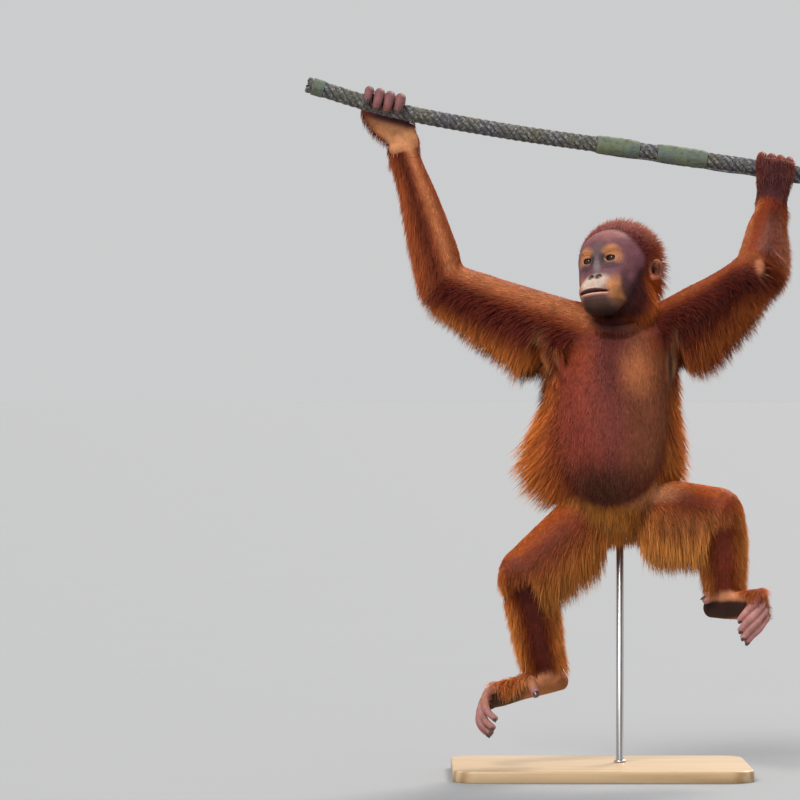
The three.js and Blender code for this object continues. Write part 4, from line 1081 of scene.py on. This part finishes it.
# Finish of the skin: the same markings as the coat, finely creased
def makeSkinFinish():
    made = Finish("skin", Roughness=0.6, Specular_IOR_Level=0.22)
    spot = made.place()
    broad = made.range(made.noise(spot, 60, 4), 0.78, 1.2, 0.3, 0.7)
    fine = made.range(made.noise(spot, 420, 3), 0.84, 1.14, 0.3, 0.7)
    made.link(made.tint(made.attribute("marking"), made.times(broad, fine)), "Base Color")
    pores = made.add("TexVoronoi", {"Vector": spot, "Scale": 700.0}, feature="DISTANCE_TO_EDGE")
    pores = pores.outputs["Distance"]
    creases = made.noise(made.place((1, 1, 2.4)), 210, 6, 0.62)
    made.link(made.bump(pores, 0.25, 0.0006, made.bump(creases, 0.6, 0.0013)), "Normal")
    made.link(made.range(made.noise(spot, 150, 3), 0.48, 0.72), "Roughness")
    return made.material


# Finish of the coat: each tuft and each lock a little lighter or darker, and each tuft darker at the root and
# lighter at the tip, as painted shade among the tufts
def makeCoatFinish():
    made = Finish("coat", Roughness=0.55, Specular_IOR_Level=0.05, Subsurface_Weight=0.25,
                  Subsurface_Scale=0.004)
    reach = made.attribute("reach", "Fac")
    own = made.range(made.attribute("strand", "Fac"), 0.62, 1.46)
    shared = made.range(made.attribute("lock", "Fac"), 0.8, 1.22)
    patchy = made.range(made.noise(made.place((1, 1, 0.3)), 60, 3), 0.8, 1.2, 0.3, 0.7)
    # painted shade: darker at the root, lighter towards the tip
    deep = made.range(reach, 0.66, 1.14)
    shares = made.times(made.times(own, shared), made.times(patchy, deep))
    made.link(made.tint(made.attribute("marking"), shares), "Base Color")
    made.link(made.bump(made.noise(made.place((1, 1, 0.3)), 1800, 2), 0.3, 0.0005), "Normal")
    made.link(made.range(made.attribute("strand", "Fac"), 0.45, 0.66), "Roughness")
    return made.material


# painted shade: the skin under the coat takes its coat's colour, darkened as shade beneath the hair
coatShade = 0.62  # how much darker the skin is under the coat
skinFinish = makeSkinFinish()
coatFinish = makeCoatFinish()
skinPoints, skinFaces = joinSkin()
skinPlace = inParts(skinPoints)
fleshNodes = [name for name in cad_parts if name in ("head", "torso", "neck") or name.startswith(
    ("ear_", "upper_arm_", "forearm_", "hand_", "thigh_", "shin_", "foot_"))]
skinPiece = makePiece("skin", skinPoints, skinFaces, skinFinish, "skin", nodes=fleshNodes)
bareShare = column(skinPlace["bare"])
# bare skin keeps its colour; skin under the coat is darkened by coatShade as painted shade
paint(skinPiece, "marking", skinPlace["colour"] * (bareShare + (1 - bareShare) * coatShade))
print("skin", len(skinFaces), "triangles")


# Coat: closed tufts that leave the skin, bend over along the lie of the coat and gather into locks.
# Each piece has its number of tufts, 10 triangles each.
coat = {
    "rings": [(0.0, 0.85), (0.46, 1.0)], "sunk": 1.2, "flat": 0.45, "gather": 0.28, "perLock": 9,
    "thick": 0.46, "thicker": 0.015, "soft": 0.6,
    "pieces": {
        "head": 15000, "neckChest": 18500, "flanksBack": 19000,
        "upperArmRight": 12500, "forearmRight": 10500, "upperArmLeft": 12500, "forearmLeft": 10000,
        "thighRight": 12000, "shinRight": 9000, "thighLeft": 12000, "shinLeft": 8500, "handsFeet": 9500,
    },
}
corners = skinPoints[skinFaces]
middles = corners.mean(1)
crossed = np.cross(corners[:, 1] - corners[:, 0], corners[:, 2] - corners[:, 0])
areas = np.linalg.norm(crossed, axis=1) / 2
faceOut = unit(crossed) * (1 if volumeOf(skinPoints, skinFaces) > 0 else -1)
pointOut = np.zeros_like(skinPoints)
for corner in range(3):
    np.add.at(pointOut, skinFaces[:, corner], faceOut * column(areas))
faceOut = unit(unit(pointOut)[skinFaces].mean(1))
place = inParts(middles)


limbPieces = [("upperArmRight", "forearmRight"), ("upperArmLeft", "forearmLeft"),
              ("thighRight", "shinRight"), ("thighLeft", "shinLeft")]


def pieceOf(place):
    zone, t = place["zone"], place["t"]
    lower = t > 0.5
    name = np.full(len(zone), "handsFeet", dtype="<U16")
    frontOn = faceOut[:, 1] < -0.25
    name[(zone == 0) & frontOn | (zone == 1)] = "neckChest"
    name[(zone == 0) & ~frontOn] = "flanksBack"
    for i, (upperName, lowerName) in enumerate(limbPieces, 2):
        name[(zone == i) & ~lower] = upperName
        name[(zone == i) & lower] = lowerName
    name[zone == 6] = "head"
    return name


pieceNames = pieceOf(place)


def rootsFor(name, count, random):  # spread over the skin, closer where the look says so
    weight = np.where(pieceNames == name, areas * place["density"] ** 2, 0)
    total = np.cumsum(weight)
    chosen = np.searchsorted(total, (np.arange(count) + random.random(count)) / count * total[-1])
    a, b = random.random((2, count, 1))
    a, b = np.where(a + b > 1, 1 - a, a), np.where(a + b > 1, 1 - b, b)
    tri = corners[chosen]
    return chosen, tri[:, 0] + a * (tri[:, 1] - tri[:, 0]) + b * (tri[:, 2] - tri[:, 0])


def leadersOf(roots, random):  # for each tuft, the one that its lock gathers to
    leaders = np.flatnonzero(random.random(len(roots)) < 1 / coat["perLock"])
    tree = kdtree.KDTree(len(leaders))
    for i, leader in enumerate(leaders):
        tree.insert(roots[leader], i)
    tree.balance()
    return leaders[[tree.find(spot)[1] for spot in roots]]


def tuftFaces(rings):
    last = 3 * rings
    faces = [(0, 1, 2)]
    for ring in range(rings - 1):
        for k in range(3):
            a, b = 3 * ring + k, 3 * ring + (k + 1) % 3
            faces += [(a, a + 3, b), (b, a + 3, b + 3)]
    faces += [(last - 3 + k, last, last - 3 + (k + 1) % 3) for k in range(3)]
    return np.array(faces)


# the painted glow at the tips stays dimmer on dark hair
def brightOf(colour):  # tips of dark hair stay darker
    return column(0.35 + 0.65 * smooth(colour.max(1), 0.12, 0.45))


def growCoat(name, count, random):
    chosen, roots = rootsFor(name, count, random)
    out = faceOut[chosen]
    look = {key: value[chosen] for key, value in place.items()}
    length = look["length"] * (0.7 + 0.5 * random.random(count))
    lie = unit(look["lie"] + 0.09 * random.standard_normal((count, 3)))
    inwards = np.minimum((lie * out).sum(1), 0)
    lie = unit(lie - out * column(inwards * 0.92) + out * 0.06)  # never into the skin
    start = unit(out * 0.5 + lie * 0.65)
    base = roots - out * coat["sunk"]
    bend = roots + start * column(0.36 * length) + random.standard_normal((count, 3)) * column(0.03 * length)
    tip = roots + lie * column(length)
    lead = leadersOf(roots, random)
    gather = column(coat["gather"] * smooth(length, 12, 34))
    drawn = roots[lead] + (tip[lead] - roots[lead]) * column(length / np.maximum(length[lead], 1))
    tip = tip * (1 - gather) + (drawn + 0.3 * (roots - roots[lead])) * gather
    tip = tip + random.standard_normal((count, 3)) * column(0.035 * length)
    way = unit(tip - base)
    across = unit(np.cross(way, out))
    upward = np.cross(across, way)
    roll = column(random.uniform(-0.6, 0.6, count))
    c, s = np.cos(roll), np.sin(roll)
    across, upward = across * c + upward * s, upward * c - across * s
    half = 0.5 * (coat["thick"] + coat["thicker"] * length) * (0.75 + 0.5 * random.random(count))
    rows, normals = [], []
    for s, wide in coat["rings"]:
        centre = base * (1 - s) ** 2 + bend * 2 * s * (1 - s) + tip * s * s
        for x, h in ((-1, 0), (1, 0), (0, coat["flat"] * 2.4)):
            rows.append(centre + across * column(half * wide * x) + upward * column(half * wide * h))
            normals.append(unit(across * x * 0.8 + upward * (0.9 if h else -0.3)))
    rows.append(tip)
    normals.append(upward)
    soft = column(coat["soft"] * (1 - 0.6 * smooth(length, 16, 40)))
    normals = np.stack([unit(normal * (1 - soft) + out * soft) for normal in normals], 1).reshape(-1, 3)
    points = np.stack(rows, 1)
    each = points.shape[1]
    faces = (tuftFaces(len(coat["rings"]))[None] + (np.arange(count) * each)[:, None, None]).reshape(-1, 3)
    piece = makePiece("coat." + name, points.reshape(-1, 3), faces, coatFinish, "coat")
    piece.data.normals_split_custom_set_from_vertices(normals)
    # painted glow: the tips lightened towards a warm orange as if lit through from behind, partly the hair's
    # own paler tips
    reach = np.array([s for s, wide in coat["rings"] for k in range(3)] + [1.0])
    glow = reach[None, :, None] ** 1.5 * look["tip"][:, None, None] * 0.75
    bright = lay(np.tile(tones["ember"], (count, 1)), tones["glow"], look["gild"])
    bright = bright * brightOf(look["colour"])
    paint(piece, "marking", (look["colour"][:, None] * (1 - glow) + bright[:, None] * glow).reshape(-1, 3))
    paint(piece, "reach", np.tile(reach, count))
    paint(piece, "strand", np.repeat(random.random(count), each))
    paint(piece, "lock", np.repeat(random.random(count)[lead], each))
    spread = np.array([(k / 2, s) for s, wide in coat["rings"] for k in range(3)] + [(0.5, 1.0)]) * 0.003
    u = (0.0015 + 0.995 * look["turn"])[:, None] + spread[:, 0]
    span = look["t"]
    v = (0.995 * (span - span.min()) / max(float(np.ptp(span)), 1e-6))[:, None] + spread[:, 1]
    order = np.empty(len(piece.data.loops), np.int32)
    piece.data.loops.foreach_get("vertex_index", order)
    layer = piece.data.uv_layers.new(name="OFBake")
    layer.data.foreach_set("uv", np.stack([u, v], -1).reshape(-1, 2)[order].astype(np.float32).ravel())
    return len(faces)


for number, (name, count) in enumerate(coat["pieces"].items()):
    grown = growCoat(name, count, np.random.default_rng(40 + number))
    print("coat", name, grown, "triangles")


# Eyes: a ball with a raised clear window, amber iris and dark pupil
eyeLook = {"bulge": 0.9, "turnAside": 6, "turnUp": 3}


def makeEyeFinish():
    made = Finish("eye", Roughness=0.12, Coat_Weight=0.35, Coat_Roughness=0.02, Specular_IOR_Level=0.3)
    far = made.attribute("fromPupil", "Fac")
    around = made.attribute("streak", "Vector")
    streaks = made.add("TexNoise", {"Vector": around, "Scale": 5.0, "Detail": 4.0}).outputs["Fac"]
    ramp = made.add("ValToRGB")
    made.tree.links.new(made.times(made.times(far, made.range(streaks, 0.9, 1.1)), 0.1), ramp.inputs["Fac"])
    stops = [(0.0, (2, 1, 1)), (0.19, (4, 2, 2)), (0.21, (40, 20, 12)), (0.33, (80, 42, 20)),
             (0.43, (42, 22, 12)), (0.48, (10, 7, 6)), (0.58, (36, 25, 20)), (0.85, (84, 64, 52))]
    while len(ramp.color_ramp.elements) < len(stops):
        ramp.color_ramp.elements.new(0.5)
    for element, (spot, colour) in zip(ramp.color_ramp.elements, stops):
        element.position = spot
        element.color = rgba(shade(*colour))
    made.link(made.tint(ramp.outputs["Color"], made.range(streaks, 0.75, 1.2)), "Base Color")
    return made.material


def makeEye(name, side, finish):
    rings, sides = 30, 40
    angle = np.linspace(0.0, math.pi, rings)
    turn = 2 * math.pi * np.arange(sides) / sides
    far = eye["radius"] * np.sin(np.minimum(angle, math.pi / 2))
    far = np.where(angle > math.pi / 2, 10, far)
    reach = (eye["radius"] - 0.1) + eyeLook["bulge"] * (1 - smooth(far, 0, 5.6))
    gaze = turnBy("z", -eyeLook["turnAside"]) @ turnBy("x", eyeLook["turnUp"])
    ball = np.stack([np.outer(np.sin(angle), np.cos(turn)), np.outer(np.cos(angle), np.ones(sides)),
                     np.outer(np.sin(angle), np.sin(turn))], -1) * reach[:, None, None]
    local = ball.reshape(-1, 3) @ gaze.T
    points = fromHead(local + np.array([side * eye["x"], eye["y"] - 0.35, eye["z"]]))
    faces, node = tube(rings, sides), "eye_" + name.lower()
    piece = makePiece("eye." + name.lower(), points, faces, finish, "eye", nodes=[node])
    paint(piece, "fromPupil", np.repeat(far, sides))
    circle = [np.tile(np.cos(turn), rings), np.tile(np.sin(turn), rings)]
    streak = np.stack([*circle, np.repeat(far, sides) * 0.02], 1)
    paint(piece, "streak", streak * 0.5 + 0.5)


eyeFinish = makeEyeFinish()
for name, side in (("Right", -1), ("Left", 1)):
    makeEye(name, side, eyeFinish)
print("eyes")


# Nails: thin arched plates over the last joint of each digit
nail = {"spread": 1.05, "thick": 0.55, "long": 1.25, "stand": 0.35}


def makeNailFinish():
    made = Finish("nail", Roughness=0.32, Specular_IOR_Level=0.5, Coat_Weight=0.25, Coat_Roughness=0.2)
    spot = made.place()
    share = made.range(made.noise(spot, 260, 3), 0.0, 1.0, 0.35, 0.65)
    made.link(made.blend(share, rgba(shade(40, 30, 30)), rgba(shade(92, 72, 66))), "Base Color")
    made.link(made.bump(made.noise(made.place((1, 1, 4)), 500, 2), 0.3, 0.0004), "Normal")
    return made.material


def nailPlate(tip, before, radius, outward):
    way = unit(tip - before)
    outward = unit(outward - way * (outward @ way))
    aside = np.cross(way, outward)
    us, vs = np.linspace(-1, 1, 9), np.linspace(0, 1, 7)
    sheets = []
    for lift in (nail["stand"] - nail["thick"], nail["stand"]):
        sheet = []
        for v in vs:
            rounded = 1 if v < 0.8 else 1 - 0.5 * (v - 0.8) / 0.2
            width = nail["spread"] * (0.9 + 0.1 * math.sin(math.pi * v)) * rounded
            for u in us:
                angle = u * width
                r = radius * (1 - 0.10 * v * v) + lift
                spot = tip + way * radius * (nail["long"] * v - 0.35) + aside * r * math.sin(angle) * 0.9
                sheet.append(spot + outward * r * (math.cos(angle) - 0.16 * v * v))
        sheets.append(np.array(sheet))
    points = np.vstack(sheets)
    w, h, n = len(us), len(vs), len(us) * len(vs)
    faces = []
    for j in range(h - 1):
        for i in range(w - 1):
            a = j * w + i
            faces += [(a, a + 1, a + w + 1, a + w), (n + a, n + a + w, n + a + w + 1, n + a + 1)]
    rim = [*range(w), *[j * w + w - 1 for j in range(1, h)]]
    rim += [*[(h - 1) * w + i for i in range(w - 2, -1, -1)], *[j * w for j in range(h - 2, 0, -1)]]
    for a, b in zip(rim, rim[1:] + rim[:1]):
        faces.append((b, a, n + a, n + b))
    return points, np.array(faces)


def nailOn(section, outward):  # on the last joint, between two places along a digit
    before, tip = section["centre"]
    return nailPlate(tip, before, section["wide"][1], outward)


def makeNails(finish):
    groups = {}
    for side, hand in hands.items():
        plates = []
        for form, kind in hand["forms"]:
            if kind == "palm":
                continue
            section = form.section(np.array([0.86, 1.0]))
            centre = hand["centre"] + hand["way"] * ((section["centre"][1] - hand["centre"]) @ hand["way"])
            outward = section["centre"][1] - centre if kind == "finger" else hand["back"]
            plates.append(nailOn(section, unit(outward)))
        groups["hand" + side] = plates
    for side, foot in feet.items():
        plates = []
        for form, kind in foot["forms"]:
            if kind not in ("toe", "bigToe"):
                continue
            section = form.section(np.array([0.84, 1.0]))
            outward = foot["long"] if kind == "toe" else foot["inner"] - foot["sole"] * 0.6
            plates.append(nailOn(section, outward))
        groups["foot" + side] = plates
    for name, plates in groups.items():
        start, points, faces = 0, [], []
        for p, f in plates:
            points.append(p)
            faces.append(f + start)
            start += len(p)
        makePiece("nails." + name, np.vstack(points), np.vstack(faces), finish, "nail")


makeNails(makeNailFinish())
print("nails")


# Rope: twisted strands, taped sleeves over two splices and a thin cord that runs along underneath
def ropeLine(steps):
    line = along(rope["path"], np.linspace(0, 1, steps))
    reach = np.concatenate([[0], np.cumsum(np.linalg.norm(np.diff(line, axis=0), axis=1))])
    way = unit(np.gradient(line, axis=0))
    across = unit(np.cross(way, front))
    return line, reach, way, across, unit(np.cross(across, way))


def closed(centres, rings, sides):  # with a ring of no size at each end
    first, last = (np.repeat(end, sides, 1) for end in (centres[:1, None], centres[-1:, None]))
    return np.concatenate([first, rings, last])


def sweep(centres, ways, radius, sides):
    across = unit(np.cross(ways, front))
    upward = np.cross(across, ways)
    turn = 2 * math.pi * np.arange(sides) / sides
    radius = np.broadcast_to(radius, len(centres))
    rings = (centres[:, None] + across[:, None] * (radius[:, None] * np.cos(turn))[..., None]
             + upward[:, None] * (radius[:, None] * np.sin(turn))[..., None])
    rings = closed(centres, rings, sides)
    return rings.reshape(-1, 3), tube(len(rings), sides)


def makeRopeFinish():
    made = Finish("ropeYarn", Roughness=0.85, Specular_IOR_Level=0.2, Sheen_Weight=0.15, Sheen_Roughness=0.5)
    spot = made.place()
    ridge = made.wave(made.times(made.attribute("yarn", "Fac"), 2 * math.pi))
    share = made.range(made.noise(spot, 26, 4), 0.0, 1.0, 0.38, 0.62)
    colour = made.blend(share, rgba(shade(74, 74, 80)), rgba(shade(80, 78, 68)))
    worn = made.range(made.noise(spot, 240, 4), 0.0, 1.0, 0.5, 0.75)
    colour = made.blend(made.times(worn, 0.6), colour, rgba(shade(186, 182, 178)))
    # painted shade: each strand darkened towards the side that faces the core, and the core itself
    # near-black, where the strands press together
    deep = made.range(made.attribute("groove", "Fac"), 0.03, 1.3)
    # painted shade along the yarn ridges: a little lighter and darker as shading of their relief
    lit = made.times(made.range(ridge, 0.93, 1.03, -1.0, 1.0), deep)
    made.link(made.tint(colour, lit), "Base Color")
    made.link(made.bump(ridge, 0.15, 0.0005, made.bump(made.noise(spot, 900, 3), 0.4, 0.0005)), "Normal")
    made.link(made.range(share, 0.78, 0.92), "Roughness")
    return made.material


def makeTapeFinish():
    made = Finish("tape", Roughness=0.6, Specular_IOR_Level=0.15)
    spot = made.place()
    share = made.range(made.noise(spot, 34, 5), 0.0, 1.0, 0.35, 0.65)
    colour = made.blend(share, rgba(shade(98, 110, 104)), rgba(shade(112, 118, 90)))
    dirt = made.range(made.noise(made.place((0.4, 1, 1)), 160, 5, 0.7), 0.0, 1.0, 0.5, 0.68)
    made.link(made.blend(made.times(dirt, 0.65), colour, rgba(shade(58, 60, 52))), "Base Color")
    made.link(made.bump(made.noise(spot, 300, 4), 0.35, 0.0008), "Normal")
    made.link(made.range(dirt, 0.66, 0.86), "Roughness")
    return made.material


def joinShapes(shapes):
    start, points, faces = 0, [], []
    for p, f in shapes:
        points.append(p)
        faces.append(f + start)
        start += len(p)
    return np.vstack(points), np.vstack(faces)


def makeRope():
    ropeFinish, tapeFinish = makeRopeFinish(), makeTapeFinish()
    line, reach, way, across, upward = ropeLine(330)
    strand = rope["radius"] / 3 - 0.1
    offset = rope["radius"] - strand
    # the core under the strands gets groove 0, which the finish paints near-black as shade
    shapes, yarn, groove = [sweep(line, way, offset * 0.8, 12)], [], []
    yarn.append(np.zeros(len(shapes[0][0])))
    groove.append(np.zeros(len(shapes[0][0])))
    sides = 10
    for k in range(rope["strands"]):
        angle = -2 * math.pi * reach / rope["layLength"] + 2 * math.pi * k / rope["strands"]
        radial = across * column(np.cos(angle)) + upward * column(np.sin(angle))
        centres = line + radial * offset
        ways = unit(np.gradient(centres, axis=0))
        out = unit(radial - ways * column((radial * ways).sum(1)))
        side = np.cross(ways, out)
        turn = 2 * math.pi * np.arange(sides) / sides
        rings = (centres[:, None] + out[:, None] * (strand * np.cos(turn))[None, :, None]
                 + side[:, None] * (strand * np.sin(turn))[None, :, None])
        rings = closed(centres, rings, sides)
        shapes.append((rings.reshape(-1, 3), tube(len(rings), sides)))
        spread = np.concatenate([[0], reach, [reach[-1]]])
        yarn.append((spread[:, None] / 3.1 + 2 * turn[None] / (2 * math.pi)).ravel())
        # groove runs from 1 on a strand's outer side to 0 where it faces the core; the finish darkens it
        # towards 0 as painted shade
        groove.append(np.tile(0.5 + 0.5 * np.cos(turn), len(rings)))
    points, faces = joinShapes(shapes)
    piece = makePiece("rope.strands", points, faces, ropeFinish, "rope", nodes=["perch_rope"])
    paint(piece, "yarn", np.concatenate(yarn))
    paint(piece, "groove", np.concatenate(groove))

    shapes = []
    for start, end in rope["sleeves"]:
        ts = np.linspace(start, end, 60)
        centres = along(rope["path"], ts)
        ways = unit(np.gradient(centres, axis=0))
        s = np.linspace(0, 1, 60)
        turns = 0.35 * np.sin(s * 31) * np.sin(s * 7) + 0.25 * ((s * 5) % 1)  # uneven turns of tape
        radius = rope["sleeveRadius"] - 1.4 * (np.abs(2 * s - 1) ** 6) + turns
        shapes.append(sweep(centres, ways, radius, 28))
    for low, high in ((0.012, 0.04), (0.962, 0.988)):  # whipping at the cut ends
        ts = np.linspace(low, high, 70)
        centres = along(rope["path"], ts)
        ways = unit(np.gradient(centres, axis=0))
        radius = rope["radius"] + 0.5 + 0.5 * np.abs(np.sin(np.linspace(0, 10 * math.pi, 70)))
        shapes.append(sweep(centres, ways, radius, 28))
    points, faces = joinShapes(shapes)
    makePiece("rope.sleeves", points, faces, tapeFinish, "rope")

    ts = np.linspace(0.545, 0.995, 260)
    centres = along(rope["path"], ts)
    ways = unit(np.gradient(centres, axis=0))
    low = unit(down + 0.35 * front - ways * column((down + 0.35 * front) @ ways.T))
    ride = rope["radius"] + 1.2 + 0.8 * np.sin(ts * 90)
    centres = centres + low * column(np.clip(ride, 0, 14.2))
    cord = sweep(centres, unit(np.gradient(centres, axis=0)), 1.9, 8)
    piece = makePiece("rope.cord", *cord, ropeFinish, "rope")
    twist = np.repeat(np.concatenate([[0], ts, [1]]) * 260, 8)
    paint(piece, "yarn", twist + np.tile(np.arange(8) / 8, 262))
    paint(piece, "groove", np.full(len(cord[0]), 0.8))


makeRope()
print("rope")


# Display stand: a wooden base with eased edges, and a brushed steel rod with a small collar
stand = {
    "width": 460, "depth": 320, "height": 18, "corner": 40, "edge": 3.0,
    "rodX": 32, "rodY": 24, "rod": 6, "top": 420,
}


def makeWoodFinish():
    made = Finish("ashWood", Roughness=0.45, Specular_IOR_Level=0.4, Coat_Weight=0.12, Coat_Roughness=0.3)
    grainPlace = made.place((1.2, 16, 16))
    wander = made.noise(made.place((1, 3, 3)), 6, 3)
    grain = {"Vector": grainPlace, "Scale": 1.1, "Distortion": 5.0, "Detail": 3.0, "Detail Scale": 1.4}
    rings = made.add("TexWave", grain, wave_type="BANDS", bands_direction="Y").outputs["Fac"]
    fibre = made.noise(made.place((6, 160, 160)), 9, 4, 0.6)
    share = made.times(made.times(rings, 0.6), made.times(fibre, 0.4), "ADD")
    share = made.range(share, 0, 1, 0.2, 0.8)
    colour = made.blend(share, rgba(shade(206, 178, 140)), rgba(shade(172, 138, 98)))
    made.link(made.tint(colour, made.range(wander, 0.9, 1.08)), "Base Color")
    made.link(made.bump(fibre, 0.15, 0.0004), "Normal")
    made.link(made.range(fibre, 0.36, 0.55), "Roughness")
    return made.material


def makeSteelFinish():
    made = Finish("brushedSteel", Metallic=1.0, Roughness=0.3)
    scratches = made.noise(made.place((900, 900, 6)), 1.0, 4, 0.7)
    share = made.range(scratches, 0, 1, 0.3, 0.7)
    made.link(made.blend(share, rgba(shade(168, 170, 172)), rgba(shade(206, 207, 208))), "Base Color")
    made.link(made.range(scratches, 0.24, 0.4, 0.3, 0.7), "Roughness")
    made.link(made.bump(scratches, 0.12, 0.0002), "Normal")
    return made.material


def makeBase(finish):
    w, d, r, h = stand["width"] / 2, stand["depth"] / 2, stand["corner"], stand["height"]
    outline = []
    x, y = w - r, d - r
    for cx, cy, start in ((x, -y, -90), (x, y, 0), (-x, y, 90), (-x, -y, 180)):
        for k in range(13):
            a = math.radians(start + 90 * k / 12)
            outline.append((cx, cy, math.cos(a), math.sin(a)))
    rows = []
    e = stand["edge"]
    bends = np.linspace(0, math.pi / 2, 7)[1:]
    rounded = [(-e + e * math.cos(a), h - e + e * math.sin(a)) for a in bends]
    profile = [(-w, 0), (-1.0, 0), (0, 1.0), (0, h - e), *rounded, (-w, h)]
    for inset, z in profile:
        for cx, cy, c, s in outline:
            if inset == -w:
                rows.append((cx * 0.2, cy * 0.2, z))
            else:
                rows.append((cx + (r + inset) * c, cy + (r + inset) * s, z))
    sides = len(outline)
    points = np.array(rows, float)
    faces = tube(len(profile), sides)
    lowMiddle, highMiddle = len(points), len(points) + 1
    points = np.vstack([points, [(0, 0, 0), (0, 0, h)]])
    k = np.arange(sides)
    n = (k + 1) % sides
    topRow = (len(profile) - 1) * sides
    faces = np.vstack([faces, np.stack([n, k, np.full(sides, lowMiddle)], 1),
                       np.stack([topRow + k, topRow + n, np.full(sides, highMiddle)], 1)])
    makePiece("stand.base", points, faces, finish, "base", nodes=["stand_base"])


def makeRod(finish):
    low, high, r = stand["height"], stand["top"], stand["rod"]
    profile = [(0, low + 0.3), (r + 3.5, low + 0.3), (r + 3.5, low + 2.2), (r + 2.2, low + 3.6),
               (r, low + 4.2), (r, high - 2), (r - 1.5, high), (0, high)]
    turn = 2 * math.pi * np.arange(40) / 40
    x, y = stand["rodX"], stand["rodY"]
    points = [(x + q * math.cos(a), y + q * math.sin(a), z) for q, z in profile for a in turn]
    makePiece("stand.rod", points, tube(len(profile), 40), finish, "rod", nodes=["stand_rod"])


makeBase(makeWoodFinish())
makeRod(makeSteelFinish())
print("stand")


# Floor, light and air: soft, from the left in front, from behind and from all round
studio = {
    "floor": shade(155, 157, 160), "air": (0.6, 0.605, 0.61), "floorSize": 900.0,
    "suns": {
        "key": {"from": (-0.55, -1.0, 1.15), "strength": 2.5, "soft": 24, "colour": (1.0, 0.97, 0.93)},
        "rim": {"from": (0.5, 1.0, 0.95), "strength": 2.6, "soft": 20, "colour": (1.0, 0.95, 0.88)},
    },
}


def makeFloor():
    finish = Finish("floor", Roughness=0.8, Specular_IOR_Level=0.1)
    spot = finish.place()
    pale = tuple(float(c) for c in studio["floor"])
    finish.link(finish.tint(pale, finish.range(finish.noise(spot, 3, 3), 0.985, 1.01)), "Base Color")
    finish.link(finish.bump(finish.noise(spot, 260, 2), 0.05, 0.0005), "Normal")
    work = bmesh.new()
    bmesh.ops.create_grid(work, x_segments=8, y_segments=8, size=studio["floorSize"])
    mesh = bpy.data.meshes.new("floor")
    work.to_mesh(mesh)
    work.free()
    floor = bpy.data.objects.new("floor", mesh)
    bpy.context.scene.collection.objects.link(floor)
    mesh.materials.append(finish.material)


def makeLights():
    for name, item in studio["suns"].items():
        data = bpy.data.lights.new(name, "SUN")
        data.energy, data.color, data.angle = item["strength"], item["colour"], math.radians(item["soft"])
        lamp = bpy.data.objects.new(name, data)
        lamp.location = item["from"]
        lamp.rotation_euler = (-Vector(item["from"])).to_track_quat("-Z", "Y").to_euler()
        bpy.context.scene.collection.objects.link(lamp)
    world = bpy.data.worlds.new("studio")
    world.use_nodes = True
    world.node_tree.nodes["Background"].inputs["Color"].default_value = (*studio["air"], 1)
    world.node_tree.nodes["Background"].inputs["Strength"].default_value = 1.0
    bpy.context.scene.world = world


makeFloor()
makeLights()
bpy.context.scene.view_settings.view_transform = "Standard"


def rows(box):
    return [[round(float(c), 5) for c in corner] for corner in box]


print("scene made")
